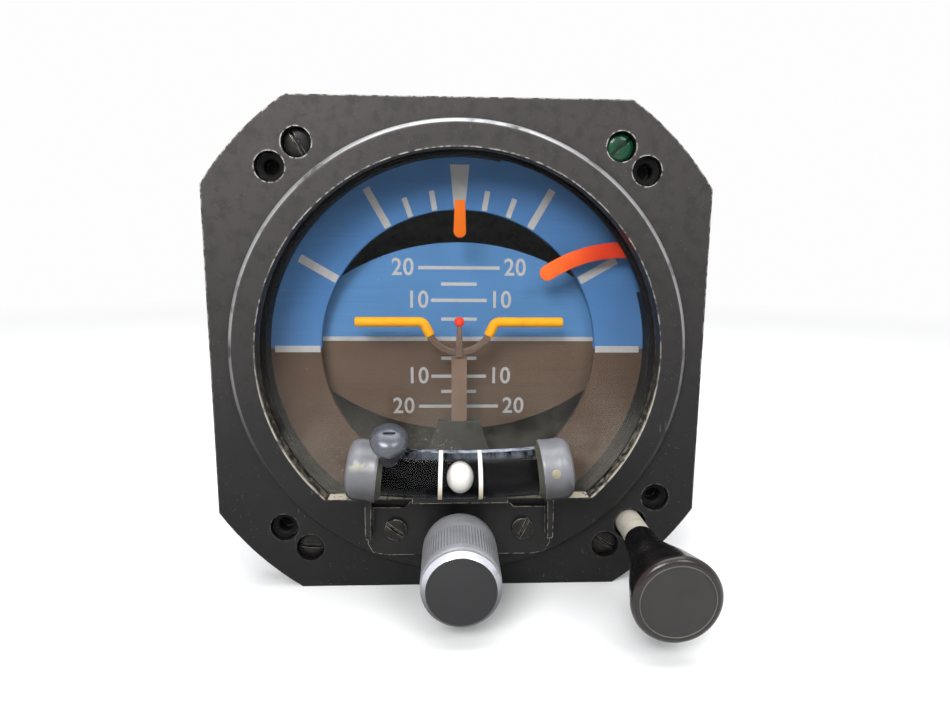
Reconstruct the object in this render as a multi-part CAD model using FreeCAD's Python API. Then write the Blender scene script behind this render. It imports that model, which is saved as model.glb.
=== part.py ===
import FreeCAD, Part
import math
import os

# Electric attitude indicator, 3-1/8 inch panel size, millimetres.
# X is right, Y runs from the panel into the instrument, Z is up.
# The origin is the centre of the bolt circle on the front face of the mounting flange.

V = FreeCAD.Vector
os.makedirs("parts", exist_ok=True)

# ---------------------------------------------------------------- clearances
RUN = 0.05            # radial running clearance of a shaft in its bearing
PRESS = 0.01          # radial gap of pieces that are pressed or bonded together
SLIP = 0.12           # radial clearance of a sliding guide
AIR = 0.3             # gap between parts that pass each other closely
SCREW_CLEAR = 0.1     # radial clearance of a screw shank in its hole

# ---------------------------------------------------------------- leading sizes
BARREL_R = 38.6       # outside of the case tube; the round sizes below follow it
BARREL_WALL = 1.8
BARREL_IN = BARREL_R - BARREL_WALL
DIAL_PIVOT_Y = 95.0   # pivot of the pitch dial; the lengthwise sizes follow it

# ---------------------------------------------------------------- front flange and bezel
FLANGE_LEDGE = 4.26
FLANGE_HALF = BARREL_R + FLANGE_LEDGE
CORNER_REACH = 8.64
CORNER_R = FLANGE_HALF + CORNER_REACH
BEZEL_T = 3.2
BOLT_OFFSET = 5.85
BOLT_R = BARREL_R + BOLT_OFFSET
BOLT_HOLE_R = 2.5
BOLT_ANGLE = 45.0
SHIFTED_HOLE_ANGLE = 36.3
PILOT_STEP = 0.75
PILOT_R = BARREL_R + PILOT_STEP
PILOT_H = 2.0
PILOT_CHAMFER = 0.7
WINDOW_RIM_W = 4.65
WINDOW_R = PILOT_R - WINDOW_RIM_W
CHORD_DEPTH = 9.2
WINDOW_CHORD = CHORD_DEPTH - WINDOW_R
LIP_BACK = 0.9
SEAT_STEP = 1.3
CASE_SCREW_ANGLE = 52.7
CASE_SCREW_POCKET_R = 2.5
CASE_SCREW_POCKET_D = 2.2
CASE_SCREW_HEAD_R = 2.3
CASE_SCREW_HEAD_H = 1.3
CASE_SCREW_R = 1.45
SLOT_W = 0.55
SLOT_D = 0.7

# ---------------------------------------------------------------- window, gasket, mask
GASKET_T = 0.4
MASK_SHOW = 0.5
MASK_R = WINDOW_R - MASK_SHOW
MASK_T = 0.6
MASK_SKIRT_T = 0.8
MASK_SKIRT_END = 7.1
FLAG_GAP_FROM = 18.0
FLAG_GAP_TO = 78.0
INDEX_OVERLAP = 1.4
INDEX_LENGTH = 6.3
INDEX_W = 1.8
INDEX_T = 0.7

# ---------------------------------------------------------------- case
CASE_FLANGE_T = 4.0
MOUTH_STEP = 0.3
MOUTH_R = BARREL_R + MOUTH_STEP
MOUTH_D = 2.8
BARREL_PAST_HUB = 14.0
BARREL_ROOT = 2.3
COVER_LENGTH = 41.0
COVER_WALL = 1.8
COVER_END_T = 2.5
COVER_EDGE_R = 3.0
REAR_PLATE_T = 3.0
LUG_R = 3.2
LUG_INSET = 3.0
LUG_PITCH_R = BARREL_IN - LUG_INSET
LUG_LENGTH = 12.0
REAR_SCREW_R = 1.3
REAR_SCREW_HEAD_R = 2.6
REAR_SCREW_HEAD_H = 1.8
CONNECTOR_HALF = 12.0
CONNECTOR_FLANGE_T = 1.6
CONNECTOR_R = 8.2
CONNECTOR_BORE_R = 7.0
CONNECTOR_LENGTH = 12.0
CONNECTOR_INSERT_T = 3.0
PIN_R = 0.8
PIN_PITCH_R = 4.2
PIN_LENGTH = 5.0
PIN_COUNT = 4
CONNECTOR_SCREW_PITCH = 9.2
CONNECTOR_SCREW_R = 1.0
CONNECTOR_HEAD_R = 1.9
CONNECTOR_HEAD_H = 1.2

# ---------------------------------------------------------------- roll frame
RING_FRONT = 7.5
RING_T = 1.2
RING_AIR = 0.8
RING_OUTER_R = BARREL_IN - RING_AIR
RING_W = 10.8
RING_INNER_R = RING_OUTER_R - RING_W
RING_BACK = RING_FRONT + RING_T
ARM_WALL = 3.0
ARM_HALF = 7.0
DISC_PAST_PIVOT = 8.0
ROLL_DISC_FRONT = DIAL_PIVOT_Y + DISC_PAST_PIVOT
ROLL_DISC_T = 4.0
ROLL_DISC_BACK = ROLL_DISC_FRONT + ROLL_DISC_T
ROLL_SHAFT_R = 4.0
ROLL_COLLAR_R = 6.0
HUB_R = 9.0
HUB_STEP = 3.0
HUB_FRONT = ROLL_DISC_BACK + HUB_STEP
HUB_LENGTH = 23.0
HUB_END = HUB_FRONT + HUB_LENGTH
BEARING_R = 7.0
BEARING_W = 5.0
ROLL_NUT_R = ROLL_SHAFT_R + 3.0
ROLL_NUT_W = 1.8

# ---------------------------------------------------------------- pitch gimbal
PIVOT_SPACING = 37.0
PITCH_Y = DIAL_PIVOT_Y - PIVOT_SPACING
PITCH_RANGE = 20.0
HOUSING_AIR = 12.0
HOUSING_R = RING_OUTER_R - HOUSING_AIR
HOUSING_WALL = 2.0
HOUSING_BOTTOM = -20.0
HOUSING_TOP = 18.0
HOUSING_BEVEL = 1.5
CAP_T = 3.0
CAP_BEVEL = 1.0
BOSS_R = 5.0
BOSS_H = 2.2
BOSS_END = HOUSING_R + BOSS_H
TRUNNION_R = 1.5
TRUNNION_END = RING_OUTER_R - 1.0
BUSH_WALL = 1.0
BUSH_IN = RING_OUTER_R - ARM_WALL - 0.6
BUSH_OUT = RING_OUTER_R - 0.7
BALANCE_R = 5.5
BALANCE_T = 7.7
BALANCE_TURN = 18.0
DRIVE_REACH = 29.0
DRIVE_Y = PITCH_Y - DRIVE_REACH
DRIVE_PIN_R = 0.9
DRIVE_ARM_T = 1.2

# ---------------------------------------------------------------- pitch dial
DIAL_AIR = 1.1
DIAL_R = DIAL_PIVOT_Y - RING_BACK - DIAL_AIR
DIAL_T = 0.5
DIAL_LIFT = 1.6
DIAL_EDGE_R = 40.4
DIAL_HALF_H = 17.9
DIAL_SIDE_AIR = 6.2
DIAL_HALF_W = RING_OUTER_R - DIAL_SIDE_AIR
DIAL_ARM_T = 1.2
DIAL_ARM_OUT = DIAL_HALF_W
DIAL_ARM_IN = DIAL_ARM_OUT - DIAL_ARM_T
DRIVE_PIN_END = DIAL_ARM_OUT + 0.6
DIAL_ARM_HALF = 2.8
DIAL_EYE_R = 3.4
LOOP_HALF_L = 12.0
LOOP_HALF_H = 11.0
LOOP_RIM = 2.4
DIAL_PIN_R = 1.2
DIAL_PIN_HEAD_R = 2.0
DIAL_PIN_HEAD_T = 0.7

# ---------------------------------------------------------------- gyro rotor
ROTOR_AIR = 1.5
ROTOR_R = HOUSING_R - HOUSING_WALL - ROTOR_AIR
ROTOR_RIM_T = 3.5
ROTOR_HALF_H = 11.0
WEB_T = 3.0
ROTOR_HUB_R = 4.0
SPIN_SHAFT_R = 1.5
SPIN_BEARING_R = 3.5
SPIN_BEARING_W = 2.5
SPIN_BOSS_R = 5.5
STATOR_R = ROTOR_R - ROTOR_RIM_T - ROTOR_AIR
STATOR_H = 8.5
STATOR_TEETH = 6

# ---------------------------------------------------------------- warning flag
FLAG_ANGLE = 35.218
FLAG_PIVOT_OUT = 2.717
FLAG_PIVOT_R = MOUTH_R + FLAG_PIVOT_OUT
FLAG_X = FLAG_PIVOT_R * math.cos(math.radians(FLAG_ANGLE))
FLAG_Z = FLAG_PIVOT_R * math.sin(math.radians(FLAG_ANGLE))
FLAG_Y = 4.8
FLAG_T = 0.5
FLAG_ARC_BACK = 4.67
FLAG_ARC_DROP = 30.23
FLAG_TIP_BACK = 18.3
FLAG_ARC_X = FLAG_X - FLAG_ARC_BACK
FLAG_ARC_Z = FLAG_Z - FLAG_ARC_DROP
FLAG_ARC_R = 24.53
FLAG_W = 2.7
FLAG_TIP_X = FLAG_X - FLAG_TIP_BACK
FLAG_EYE_R = 2.0
FLAG_PIN_R = 0.7
FLAG_POCKET_R = 2.9
COIL_R = 2.4
COIL_W = 0.9

# ---------------------------------------------------------------- miniature airplane
SYMBOL_Y = 5.0
WING_Z = 5.3
WING_TIP = 18.7
WIRE_R = 0.9
WING_BEND_X = 6.5
WING_ROOT_X = 5.25
WING_ROOT_Z = 2.7
YOKE_Z = -0.2
YOKE_W = 1.3
YOKE_T = 1.2
DOT_R = 0.9
STRIP_W = 2.8
STRIP_T = 0.6
STRIP_TOP = -1.1
JOG_RISE = 1.0
JOG_DROP = 1.4
GUIDE_H = 12.7
GUIDE_TOP_HALF = 3.75
GUIDE_SLOPE = 0.325
GUIDE_FOOT = WINDOW_CHORD - 0.1
GUIDE_TOP = GUIDE_FOOT + GUIDE_H
JOG_TOP = GUIDE_FOOT + JOG_RISE
JOG_BOTTOM = GUIDE_FOOT - JOG_DROP
GUIDE_FRONT = 3.9
GUIDE_BACK = 6.2
SYMBOL_TRAVEL = 2.0

# ---------------------------------------------------------------- airplane adjustment
ADJUST_DROP = 7.5
ADJUST_Z = WINDOW_CHORD - ADJUST_DROP
ADJUST_SHAFT_R = 1.5
KNOB_R = 6.4
KNOB_FRONT = -20.5
KNOB_BACK = -4.2
KNOB_CHAMFER = 0.75
MODULE = 0.5
PINION_TEETH = 10
PINION_FRONT = 4.5
PINION_W = 1.3
RACK_BACK_T = 1.5

# ---------------------------------------------------------------- caging
CAGE_SHAFT_R = 2.4
CAGE_HOLE_R = 3.0
CAGE_SHAFT_THIN_R = 1.5
CAGE_STEP_Y = 12.0
CAGE_END_GAP = 3.0
CAGE_TRAVEL = 8.0
LOBE_R = 4.0
LOBE_WALL = 0.9
LOBE_START = 14.0
CAGE_COLLAR_Y = 40.0
CAGE_COLLAR_T = 2.0
CAGE_COLLAR_R = 2.8
SPRING_R = 2.25
SPRING_WIRE_R = 0.3
SPRING_TURNS = 4
CAGE_KNOB_R = 6.9
CAGE_KNOB_BACK = -6.5
CAGE_KNOB_FACE = -26.0
CAGE_SHAFT_FRONT = CAGE_KNOB_FACE + 6.0
CAGE_RING_GAP = 7.0
CAGE_RING_T = 2.0
CAGE_RING_IN = 12.5
CAGE_RING_OUT = 17.0
CAGE_ARM_HALF = 2.0

# ---------------------------------------------------------------- inclinometer
TUBE_Y = -7.0
TUBE_RISE = 6.3
TUBE_Z = WINDOW_CHORD + TUBE_RISE
TUBE_BEND_R = 135.0
TUBE_R = 4.0
TUBE_BORE_R = 2.8
TUBE_HALF = 18.0
BALL_R = 2.4
CAP_R = 5.3
CAP_GRIP = 4.7
CAP_END_T = 1.6
CAP_IN = TUBE_HALF - CAP_GRIP
CAP_OUT = TUBE_HALF + CAP_END_T
CAP_ROUND = 1.8
CAP_IN_DEPTH = 5.0
BOND = 0.06
BAND_X = 3.3
BAND_W = 1.0
BAND_T = 0.1
PLUG_INSET = 6.0
PLUG_X = PLUG_INSET - TUBE_HALF
PLUG_TILT = 30.0
PLUG_HEAD_R = 3.15
PLUG_HEAD_AT = 8.0
BRACKET_T = 0.9
BRACKET_HALF = CAP_IN + 2.9
BRACKET_DROP = 10.0
BRACKET_BOTTOM = WINDOW_CHORD - BRACKET_DROP
SHELF_HALF = 8.1
LEG_W = 1.0
BRACKET_SCREW_X = CAP_IN - 2.1
BRACKET_SCREW_DROP = 4.8
BRACKET_SCREW_Z = WINDOW_CHORD - BRACKET_SCREW_DROP
BRACKET_SCREW_HEAD_R = 1.9
BRACKET_SCREW_R = 1.0

# ---------------------------------------------------------------- derived sizes
CASE_FRONT = BEZEL_T
CASE_BACK = CASE_FRONT + CASE_FLANGE_T
MOUTH_END = CASE_FRONT + MOUTH_D
MASK_FRONT = BEZEL_T + GASKET_T
MASK_RIM = MOUTH_R - 0.2
INDEX_TOP = RING_INNER_R + INDEX_OVERLAP
INDEX_BOTTOM = INDEX_TOP - INDEX_LENGTH
BARREL_END = HUB_FRONT + BARREL_PAST_HUB
COVER_END = BARREL_END + COVER_LENGTH
CONNECTOR_END = COVER_END + CONNECTOR_LENGTH
CAGE_END = BARREL_END - CAGE_END_GAP
CAGE_RING_Y = BARREL_END - CAGE_RING_GAP
REACH = 2 * FLANGE_HALF
REAR_PLATE_FRONT = BARREL_END
REAR_PLATE_BACK = BARREL_END + REAR_PLATE_T
ROLL_NUT_END = HUB_END + AIR + ROLL_NUT_W
GEAR_PITCH_R = MODULE * PINION_TEETH / 2.0
CAGE_X = BOLT_R * math.cos(math.radians(BOLT_ANGLE))
CAGE_Z = -CAGE_X
LOBE_BORE_R = LOBE_R - LOBE_WALL
TUBE_ARC_Z = TUBE_Z + TUBE_BEND_R
BUSH_R = TRUNNION_R + RUN + BUSH_WALL


# ---------------------------------------------------------------- drawing helpers
def cyl(r, y0, y1, x=0.0, z=0.0):
    return Part.makeCylinder(r, y1 - y0, V(x, y0, z), V(0, 1, 0))


def cyl_x(r, x0, x1, y, z=0.0):
    return Part.makeCylinder(r, x1 - x0, V(x0, y, z), V(1, 0, 0))


def cyl_z(r, z0, z1, y=PITCH_Y, x=0.0):
    return Part.makeCylinder(r, z1 - z0, V(x, y, z0), V(0, 0, 1))


def tube(ro, ri, y0, y1, x=0.0, z=0.0):
    return cyl(ro, y0, y1, x, z).cut(cyl(ri, y0 - 1, y1 + 1, x, z))


def box(x0, x1, y0, y1, z0, z1):
    return Part.makeBox(x1 - x0, y1 - y0, z1 - z0, V(x0, y0, z0))


def union(shapes):
    out = shapes[0]
    for s in shapes[1:]:
        out = out.fuse(s)
    return out.removeSplitter()


def turned(profile, x=0.0, z=0.0):
    # a solid turned about a line parallel to Y; the profile is (radius, y)
    points = [V(x + r, y, z) for r, y in profile]
    points.append(points[0])
    face = Part.Face(Part.makePolygon(points))
    return face.revolve(V(x, 0, z), V(0, 1, 0), 360)


def slab(points, y0, y1):
    # a flat outline in X and Z, given thickness along Y
    pts = [V(x, y0, z) for x, z in points]
    pts.append(pts[0])
    return Part.Face(Part.makePolygon(pts)).extrude(V(0, y1 - y0, 0))


def d_disc(r, chord, y0, y1):
    # a round disc with its lower part cut off at a level line
    return cyl(r, y0, y1).common(box(-2 * r, 2 * r, y0 - 1, y1 + 1, chord, 2 * r))


def square_flange(y0, y1):
    sheet = box(-FLANGE_HALF, FLANGE_HALF, y0, y1, -FLANGE_HALF, FLANGE_HALF)
    return sheet.common(cyl(CORNER_R, y0 - 1, y1 + 1))


def on_bolt_circle(angle):
    a = math.radians(angle)
    return BOLT_R * math.cos(a), BOLT_R * math.sin(a)


def about_y(shape, angle, x=0.0, z=0.0):
    out = shape.copy()
    out.rotate(V(x, 0, z), V(0, 1, 0), angle)
    return out


def slotted_head(r, h, y_face, x, z, turn, bevel=0.0):
    # a screw head that faces the front, its slot turned by an angle
    head = cyl(r, y_face, y_face + h, x, z)
    if bevel > 0:
        edge = [e for e in head.Edges if abs(e.CenterOfMass.y - y_face) < 1e-6]
        head = head.makeChamfer(bevel, edge)
    cut = box(x - 2 * r, x + 2 * r, y_face - 1, y_face + SLOT_D, z - SLOT_W / 2, z + SLOT_W / 2)
    return head.cut(about_y(cut, turn, x, z))


def save(shape, node):
    shape.exportStep("parts/" + node + ".step")


# ---------------------------------------------------------------- bezel
MOUNT_ANGLES = (BOLT_ANGLE, 180.0 - BOLT_ANGLE, 180.0 + BOLT_ANGLE, -SHIFTED_HOLE_ANGLE)
CASE_SCREW_ANGLES = (
    CASE_SCREW_ANGLE,
    180.0 - CASE_SCREW_ANGLE,
    180.0 + CASE_SCREW_ANGLE,
    -CASE_SCREW_ANGLE,
)


def make_bezel():
    plate = square_flange(0, BEZEL_T)
    ring = turned([
        (0, 0),
        (PILOT_R, 0),
        (PILOT_R, PILOT_CHAMFER - PILOT_H),
        (PILOT_R - PILOT_CHAMFER, -PILOT_H),
        (0, -PILOT_H),
    ])
    body = plate.fuse(ring)
    body = body.cut(d_disc(WINDOW_R, WINDOW_CHORD, -PILOT_H - 1, BEZEL_T + 1))
    seat = d_disc(WINDOW_R + SEAT_STEP, WINDOW_CHORD - SEAT_STEP, LIP_BACK, BEZEL_T + 1)
    body = body.cut(seat)
    for angle in MOUNT_ANGLES:
        x, z = on_bolt_circle(angle)
        body = body.cut(cyl(BOLT_HOLE_R, -1, BEZEL_T + 1, x, z))
    for angle in CASE_SCREW_ANGLES:
        x, z = on_bolt_circle(angle)
        body = body.cut(cyl(CASE_SCREW_POCKET_R, -1, CASE_SCREW_POCKET_D, x, z))
        body = body.cut(cyl(CASE_SCREW_R + SCREW_CLEAR, 0, BEZEL_T + 1, x, z))
    body = body.cut(cyl(CAGE_HOLE_R, -1, BEZEL_T + 1, CAGE_X, CAGE_Z))
    body = body.cut(cyl(ADJUST_SHAFT_R + RUN, -PILOT_H - 1, BEZEL_T + 1, 0, ADJUST_Z))
    for side in (-1, 1):
        x = side * BRACKET_SCREW_X
        hole = cyl(BRACKET_SCREW_R + PRESS, -PILOT_H - 1, BEZEL_T - 0.6, x, BRACKET_SCREW_Z)
        body = body.cut(hole)
    return body.removeSplitter()


# ---------------------------------------------------------------- case
def lug_angles():
    return (0.0, 90.0, 180.0, 270.0)


def make_case():
    body = square_flange(CASE_FRONT, CASE_BACK)
    barrel = turned([
        (0, CASE_BACK - 1),
        (BARREL_R + BARREL_ROOT, CASE_BACK - 1),
        (BARREL_R + BARREL_ROOT, CASE_BACK),
        (BARREL_R + 0.3 * BARREL_ROOT, CASE_BACK + 0.3 * BARREL_ROOT),
        (BARREL_R, CASE_BACK + BARREL_ROOT),
        (BARREL_R, BARREL_END),
        (0, BARREL_END),
    ])
    lobe = cyl(LOBE_R, CASE_BACK - 1, BARREL_END, CAGE_X, CAGE_Z)
    web = box(0.5 * BARREL_R, BOLT_R, CASE_BACK - 1, BARREL_END, -0.85 * LOBE_R, 0.85 * LOBE_R)
    body = body.fuse([barrel, lobe, about_y(web, BOLT_ANGLE)])
    hollow = cyl(BARREL_IN, CASE_FRONT - 1, BARREL_END + 1)
    for angle in lug_angles():
        lug = cyl(LUG_R, BARREL_END - LUG_LENGTH, BARREL_END + 2, LUG_PITCH_R, 0)
        lug = lug.fuse(box(LUG_PITCH_R, BARREL_R, BARREL_END - LUG_LENGTH, BARREL_END + 2, -LUG_R, LUG_R))
        hollow = hollow.cut(about_y(lug, angle))
    body = body.cut(hollow)
    body = body.cut(cyl(MOUTH_R, CASE_FRONT - 1, MOUTH_END))
    body = body.cut(cyl(FLAG_POCKET_R, CASE_FRONT - 1, MOUTH_END + 0.5, FLAG_X, FLAG_Z))
    link = box(0, FLAG_POCKET_R, CASE_FRONT - 1, MOUTH_END, -FLAG_POCKET_R, FLAG_POCKET_R)
    toward = math.degrees(math.atan2(FLAG_Z, FLAG_X))
    body = body.cut(about_y(link.translated(V(math.hypot(FLAG_X, FLAG_Z) - FLAG_POCKET_R, 0, 0)), -toward))
    body = body.cut(cyl(FLAG_PIN_R + PRESS, CASE_FRONT, CASE_BACK - 0.3, FLAG_X, FLAG_Z))
    for angle in MOUNT_ANGLES:
        x, z = on_bolt_circle(angle)
        body = body.cut(cyl(BOLT_HOLE_R, CASE_FRONT - 1, CASE_BACK + 20, x, z))
    for angle in CASE_SCREW_ANGLES:
        x, z = on_bolt_circle(angle)
        body = body.cut(cyl(CASE_SCREW_R + PRESS, CASE_FRONT - 1, CASE_BACK + 20, x, z))
    for angle in lug_angles():
        a = math.radians(angle)
        hole = cyl(REAR_SCREW_R + PRESS, BARREL_END - 9, BARREL_END + 1,
                   LUG_PITCH_R * math.cos(a), LUG_PITCH_R * math.sin(a))
        body = body.cut(hole)
    body = body.cut(cyl(CAGE_SHAFT_R + RUN, CASE_FRONT - 1, LOBE_START + 1, CAGE_X, CAGE_Z))
    body = body.cut(cyl(LOBE_BORE_R, LOBE_START, BARREL_END + 1, CAGE_X, CAGE_Z))
    slot_front = CAGE_RING_Y - CAGE_TRAVEL - 1.0
    slot = box(BARREL_IN - 1, BOLT_R, slot_front, BARREL_END + 1, -CAGE_ARM_HALF - 0.4, CAGE_ARM_HALF + 0.4)
    body = body.cut(about_y(slot, BOLT_ANGLE))
    return body.removeSplitter()


# ---------------------------------------------------------------- bezel screws
def make_bezel_screws():
    out = []
    turns = (20.0, -35.0, 60.0, 5.0)
    for angle, turn in zip(CASE_SCREW_ANGLES, turns):
        x, z = on_bolt_circle(angle)
        face = CASE_SCREW_POCKET_D - CASE_SCREW_HEAD_H
        head = slotted_head(CASE_SCREW_HEAD_R, CASE_SCREW_HEAD_H, face, x, z, turn, 0.3)
        shank = cyl(CASE_SCREW_R, CASE_SCREW_POCKET_D, CASE_BACK, x, z)
        out.append(head.fuse(shank).removeSplitter())
    return Part.makeCompound(out)


# ---------------------------------------------------------------- window stack
def make_window_glass():
    r = WINDOW_R + SEAT_STEP - 0.1
    chord = WINDOW_CHORD - SEAT_STEP + 0.1
    return d_disc(r, chord, LIP_BACK, BEZEL_T)


def make_window_gasket():
    outer = cyl(MASK_RIM, BEZEL_T, MASK_FRONT)
    outer = outer.cut(d_disc(MASK_R + 0.4, WINDOW_CHORD - 0.4, 0, MASK_FRONT + 1))
    outer = outer.cut(cyl(ADJUST_SHAFT_R + 0.5, 0, MASK_FRONT + 1, 0, ADJUST_Z))
    return outer.cut(flag_eye_space(0, MASK_FRONT + 1)).removeSplitter()


def flag_eye_space(y0, y1):
    return cyl(FLAG_EYE_R + 0.6, y0, y1, FLAG_X, FLAG_Z)


def make_mask_ring():
    plate_end = MASK_FRONT + MASK_T
    plate = cyl(MASK_RIM, MASK_FRONT, plate_end)
    inner = tube(MASK_R + MASK_SKIRT_T, MASK_R - 1, MASK_FRONT, MASK_SKIRT_END)
    outer = tube(MASK_RIM, MASK_RIM - MASK_SKIRT_T, MASK_FRONT, MOUTH_END)
    web = cyl(BARREL_IN - 0.2, MASK_FRONT, MASK_SKIRT_END)
    web = web.common(box(-REACH, REACH, 0, 20, -REACH, GUIDE_FOOT))
    body = union([plate, inner, outer, web])
    body = body.cut(d_disc(MASK_R, GUIDE_FOOT, 0, 20))
    gap = slab([
        (0, 0),
        (REACH * math.cos(math.radians(FLAG_GAP_FROM)), REACH * math.sin(math.radians(FLAG_GAP_FROM))),
        (REACH * math.cos(math.radians(FLAG_GAP_TO)), REACH * math.sin(math.radians(FLAG_GAP_TO))),
    ], plate_end, 20)
    body = body.cut(gap)
    body = body.cut(flag_eye_space(0, 20))
    gear_room = GEAR_PITCH_R + MODULE + 0.6
    rack_side = GEAR_PITCH_R + 1.25 * MODULE + RACK_BACK_T + 0.4
    body = body.cut(box(-gear_room, rack_side, plate_end, 20, -REACH, GUIDE_FOOT + 1))
    body = body.cut(cyl(ADJUST_SHAFT_R + 0.3, 0, 20, 0, ADJUST_Z))
    return body.removeSplitter()


def make_bank_index():
    half = INDEX_W / 2
    strip = box(-half, half, BEZEL_T, BEZEL_T + INDEX_T, INDEX_BOTTOM + half, INDEX_TOP)
    return strip.fuse(cyl(half + 0.2, BEZEL_T, BEZEL_T + INDEX_T, 0, INDEX_BOTTOM + half)).removeSplitter()


# ---------------------------------------------------------------- rear of the case
def make_rear_plate():
    disc = cyl(BARREL_R, REAR_PLATE_FRONT, REAR_PLATE_BACK)
    hub = cyl(HUB_R, HUB_FRONT, HUB_END)
    ribs = [disc, hub]
    for angle in (0.0, 90.0, 180.0, 270.0):
        rib = slab([(HUB_R - 1, 0), (HUB_R + 9, 0), (HUB_R - 1, 6)], -1.0, 1.0)
        rib.rotate(V(0, 0, 0), V(1, 0, 0), -90)
        rib.translate(V(0, REAR_PLATE_BACK, 0))
        ribs.append(about_y(rib, angle))
    body = union(ribs)
    body = body.cut(cyl(ROLL_SHAFT_R + 0.8, HUB_FRONT - 1, HUB_END + 1))
    body = body.cut(cyl(BEARING_R + PRESS, HUB_FRONT - 1, HUB_FRONT + BEARING_W))
    body = body.cut(cyl(BEARING_R + PRESS, HUB_END - BEARING_W, HUB_END + 1))
    for angle in lug_angles():
        a = math.radians(angle)
        x = LUG_PITCH_R * math.cos(a)
        z = LUG_PITCH_R * math.sin(a)
        body = body.cut(cyl(REAR_SCREW_R + SCREW_CLEAR, BARREL_END - 1, REAR_PLATE_BACK + 1, x, z))
    body = body.cut(cyl(LOBE_BORE_R, BARREL_END - 1, REAR_PLATE_BACK + 1, CAGE_X, CAGE_Z))
    return body.removeSplitter()


def make_roll_bearings():
    rings = []
    for y0 in (HUB_FRONT, HUB_END - BEARING_W):
        ring = tube(BEARING_R, ROLL_SHAFT_R + RUN, y0, y0 + BEARING_W)
        rings.append(ring)
    return Part.makeCompound(rings)


def make_rear_cover():
    cup = turned([
        (0, REAR_PLATE_BACK),
        (BARREL_R, REAR_PLATE_BACK),
        (BARREL_R, COVER_END - COVER_EDGE_R),
        (BARREL_R - 0.3 * COVER_EDGE_R, COVER_END - 0.3 * COVER_EDGE_R),
        (BARREL_R - COVER_EDGE_R, COVER_END),
        (0, COVER_END),
    ])
    hollow = cyl(BARREL_R - COVER_WALL, REAR_PLATE_BACK - 1, COVER_END - COVER_END_T)
    for angle in lug_angles():
        post = cyl(LUG_R, REAR_PLATE_BACK - 2, COVER_END, LUG_PITCH_R, 0)
        post = post.fuse(box(LUG_PITCH_R, BARREL_R, REAR_PLATE_BACK - 2, COVER_END, -LUG_R, LUG_R))
        hollow = hollow.cut(about_y(post, angle))
    cup = cup.cut(hollow)
    for angle in lug_angles():
        a = math.radians(angle)
        x = LUG_PITCH_R * math.cos(a)
        z = LUG_PITCH_R * math.sin(a)
        cup = cup.cut(cyl(REAR_SCREW_R + SCREW_CLEAR, REAR_PLATE_BACK - 1, COVER_END + 1, x, z))
    cup = cup.cut(cyl(CONNECTOR_R + 0.1, COVER_END - 2 * COVER_END_T, COVER_END + 1))
    return cup.removeSplitter()


def make_rear_screws():
    out = []
    for angle in lug_angles():
        a = math.radians(angle)
        x = LUG_PITCH_R * math.cos(a)
        z = LUG_PITCH_R * math.sin(a)
        head = slotted_head(REAR_SCREW_HEAD_R, REAR_SCREW_HEAD_H, 0, 0, 0, 25.0 + angle, 0.5)
        head.rotate(V(0, 0, 0), V(0, 0, 1), 180)
        head.translate(V(x, COVER_END + REAR_SCREW_HEAD_H, z))
        shank = cyl(REAR_SCREW_R, BARREL_END - 8, COVER_END, x, z)
        out.append(head.fuse(shank).removeSplitter())
    return Part.makeCompound(out)


def connector_screw_points():
    return [(sx * CONNECTOR_SCREW_PITCH, sz * CONNECTOR_SCREW_PITCH) for sx in (-1, 1) for sz in (-1, 1)]


def make_connector_shell():
    half = CONNECTOR_HALF
    plate = box(-half, half, COVER_END, COVER_END + CONNECTOR_FLANGE_T, -half, half)
    corners = [e for e in plate.Edges if abs(e.BoundBox.YLength - CONNECTOR_FLANGE_T) < 1e-6]
    plate = plate.makeFillet(2.0, corners)
    barrel = cyl(CONNECTOR_R, COVER_END - COVER_END_T, CONNECTOR_END)
    rim = tube(CONNECTOR_R + 0.6, CONNECTOR_R - 1, COVER_END + CONNECTOR_FLANGE_T, COVER_END + 4.0)
    body = union([plate, barrel, rim])
    body = body.cut(cyl(CONNECTOR_BORE_R, COVER_END, CONNECTOR_END + 1))
    key = box(-0.8, 0.8, COVER_END + 4, CONNECTOR_END, CONNECTOR_BORE_R - 0.7, CONNECTOR_BORE_R + 0.4)
    body = body.fuse(key)
    for x, z in connector_screw_points():
        body = body.cut(cyl(CONNECTOR_SCREW_R + SCREW_CLEAR, COVER_END - 1, CONNECTOR_END, x, z))
    return body.removeSplitter()


def make_connector_insert():
    insert = cyl(CONNECTOR_BORE_R - PRESS, COVER_END, COVER_END + CONNECTOR_INSERT_T)
    out = [insert]
    for k in range(PIN_COUNT):
        a = 2 * math.pi * k / PIN_COUNT
        x = PIN_PITCH_R * math.cos(a)
        z = PIN_PITCH_R * math.sin(a)
        out.append(cyl(PIN_R, COVER_END + 1, COVER_END + CONNECTOR_INSERT_T + PIN_LENGTH, x, z))
    return union(out)


def make_connector_screws():
    out = []
    for x, z in connector_screw_points():
        head = cyl(CONNECTOR_HEAD_R, 0, CONNECTOR_HEAD_H)
        head.rotate(V(0, 0, 0), V(0, 0, 1), 180)
        head.translate(V(x, COVER_END + CONNECTOR_FLANGE_T + CONNECTOR_HEAD_H, z))
        shank = cyl(CONNECTOR_SCREW_R, COVER_END, COVER_END + CONNECTOR_FLANGE_T, x, z)
        out.append(head.fuse(shank).removeSplitter())
    return Part.makeCompound(out)


# ---------------------------------------------------------------- roll assembly
def make_bank_ring():
    ring = turned([
        (RING_INNER_R + 0.3, RING_FRONT),
        (RING_OUTER_R - 0.3, RING_FRONT),
        (RING_OUTER_R, RING_FRONT + 0.3),
        (RING_OUTER_R, RING_BACK),
        (RING_INNER_R, RING_BACK),
        (RING_INNER_R, RING_FRONT + 0.3),
    ])
    return ring


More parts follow.
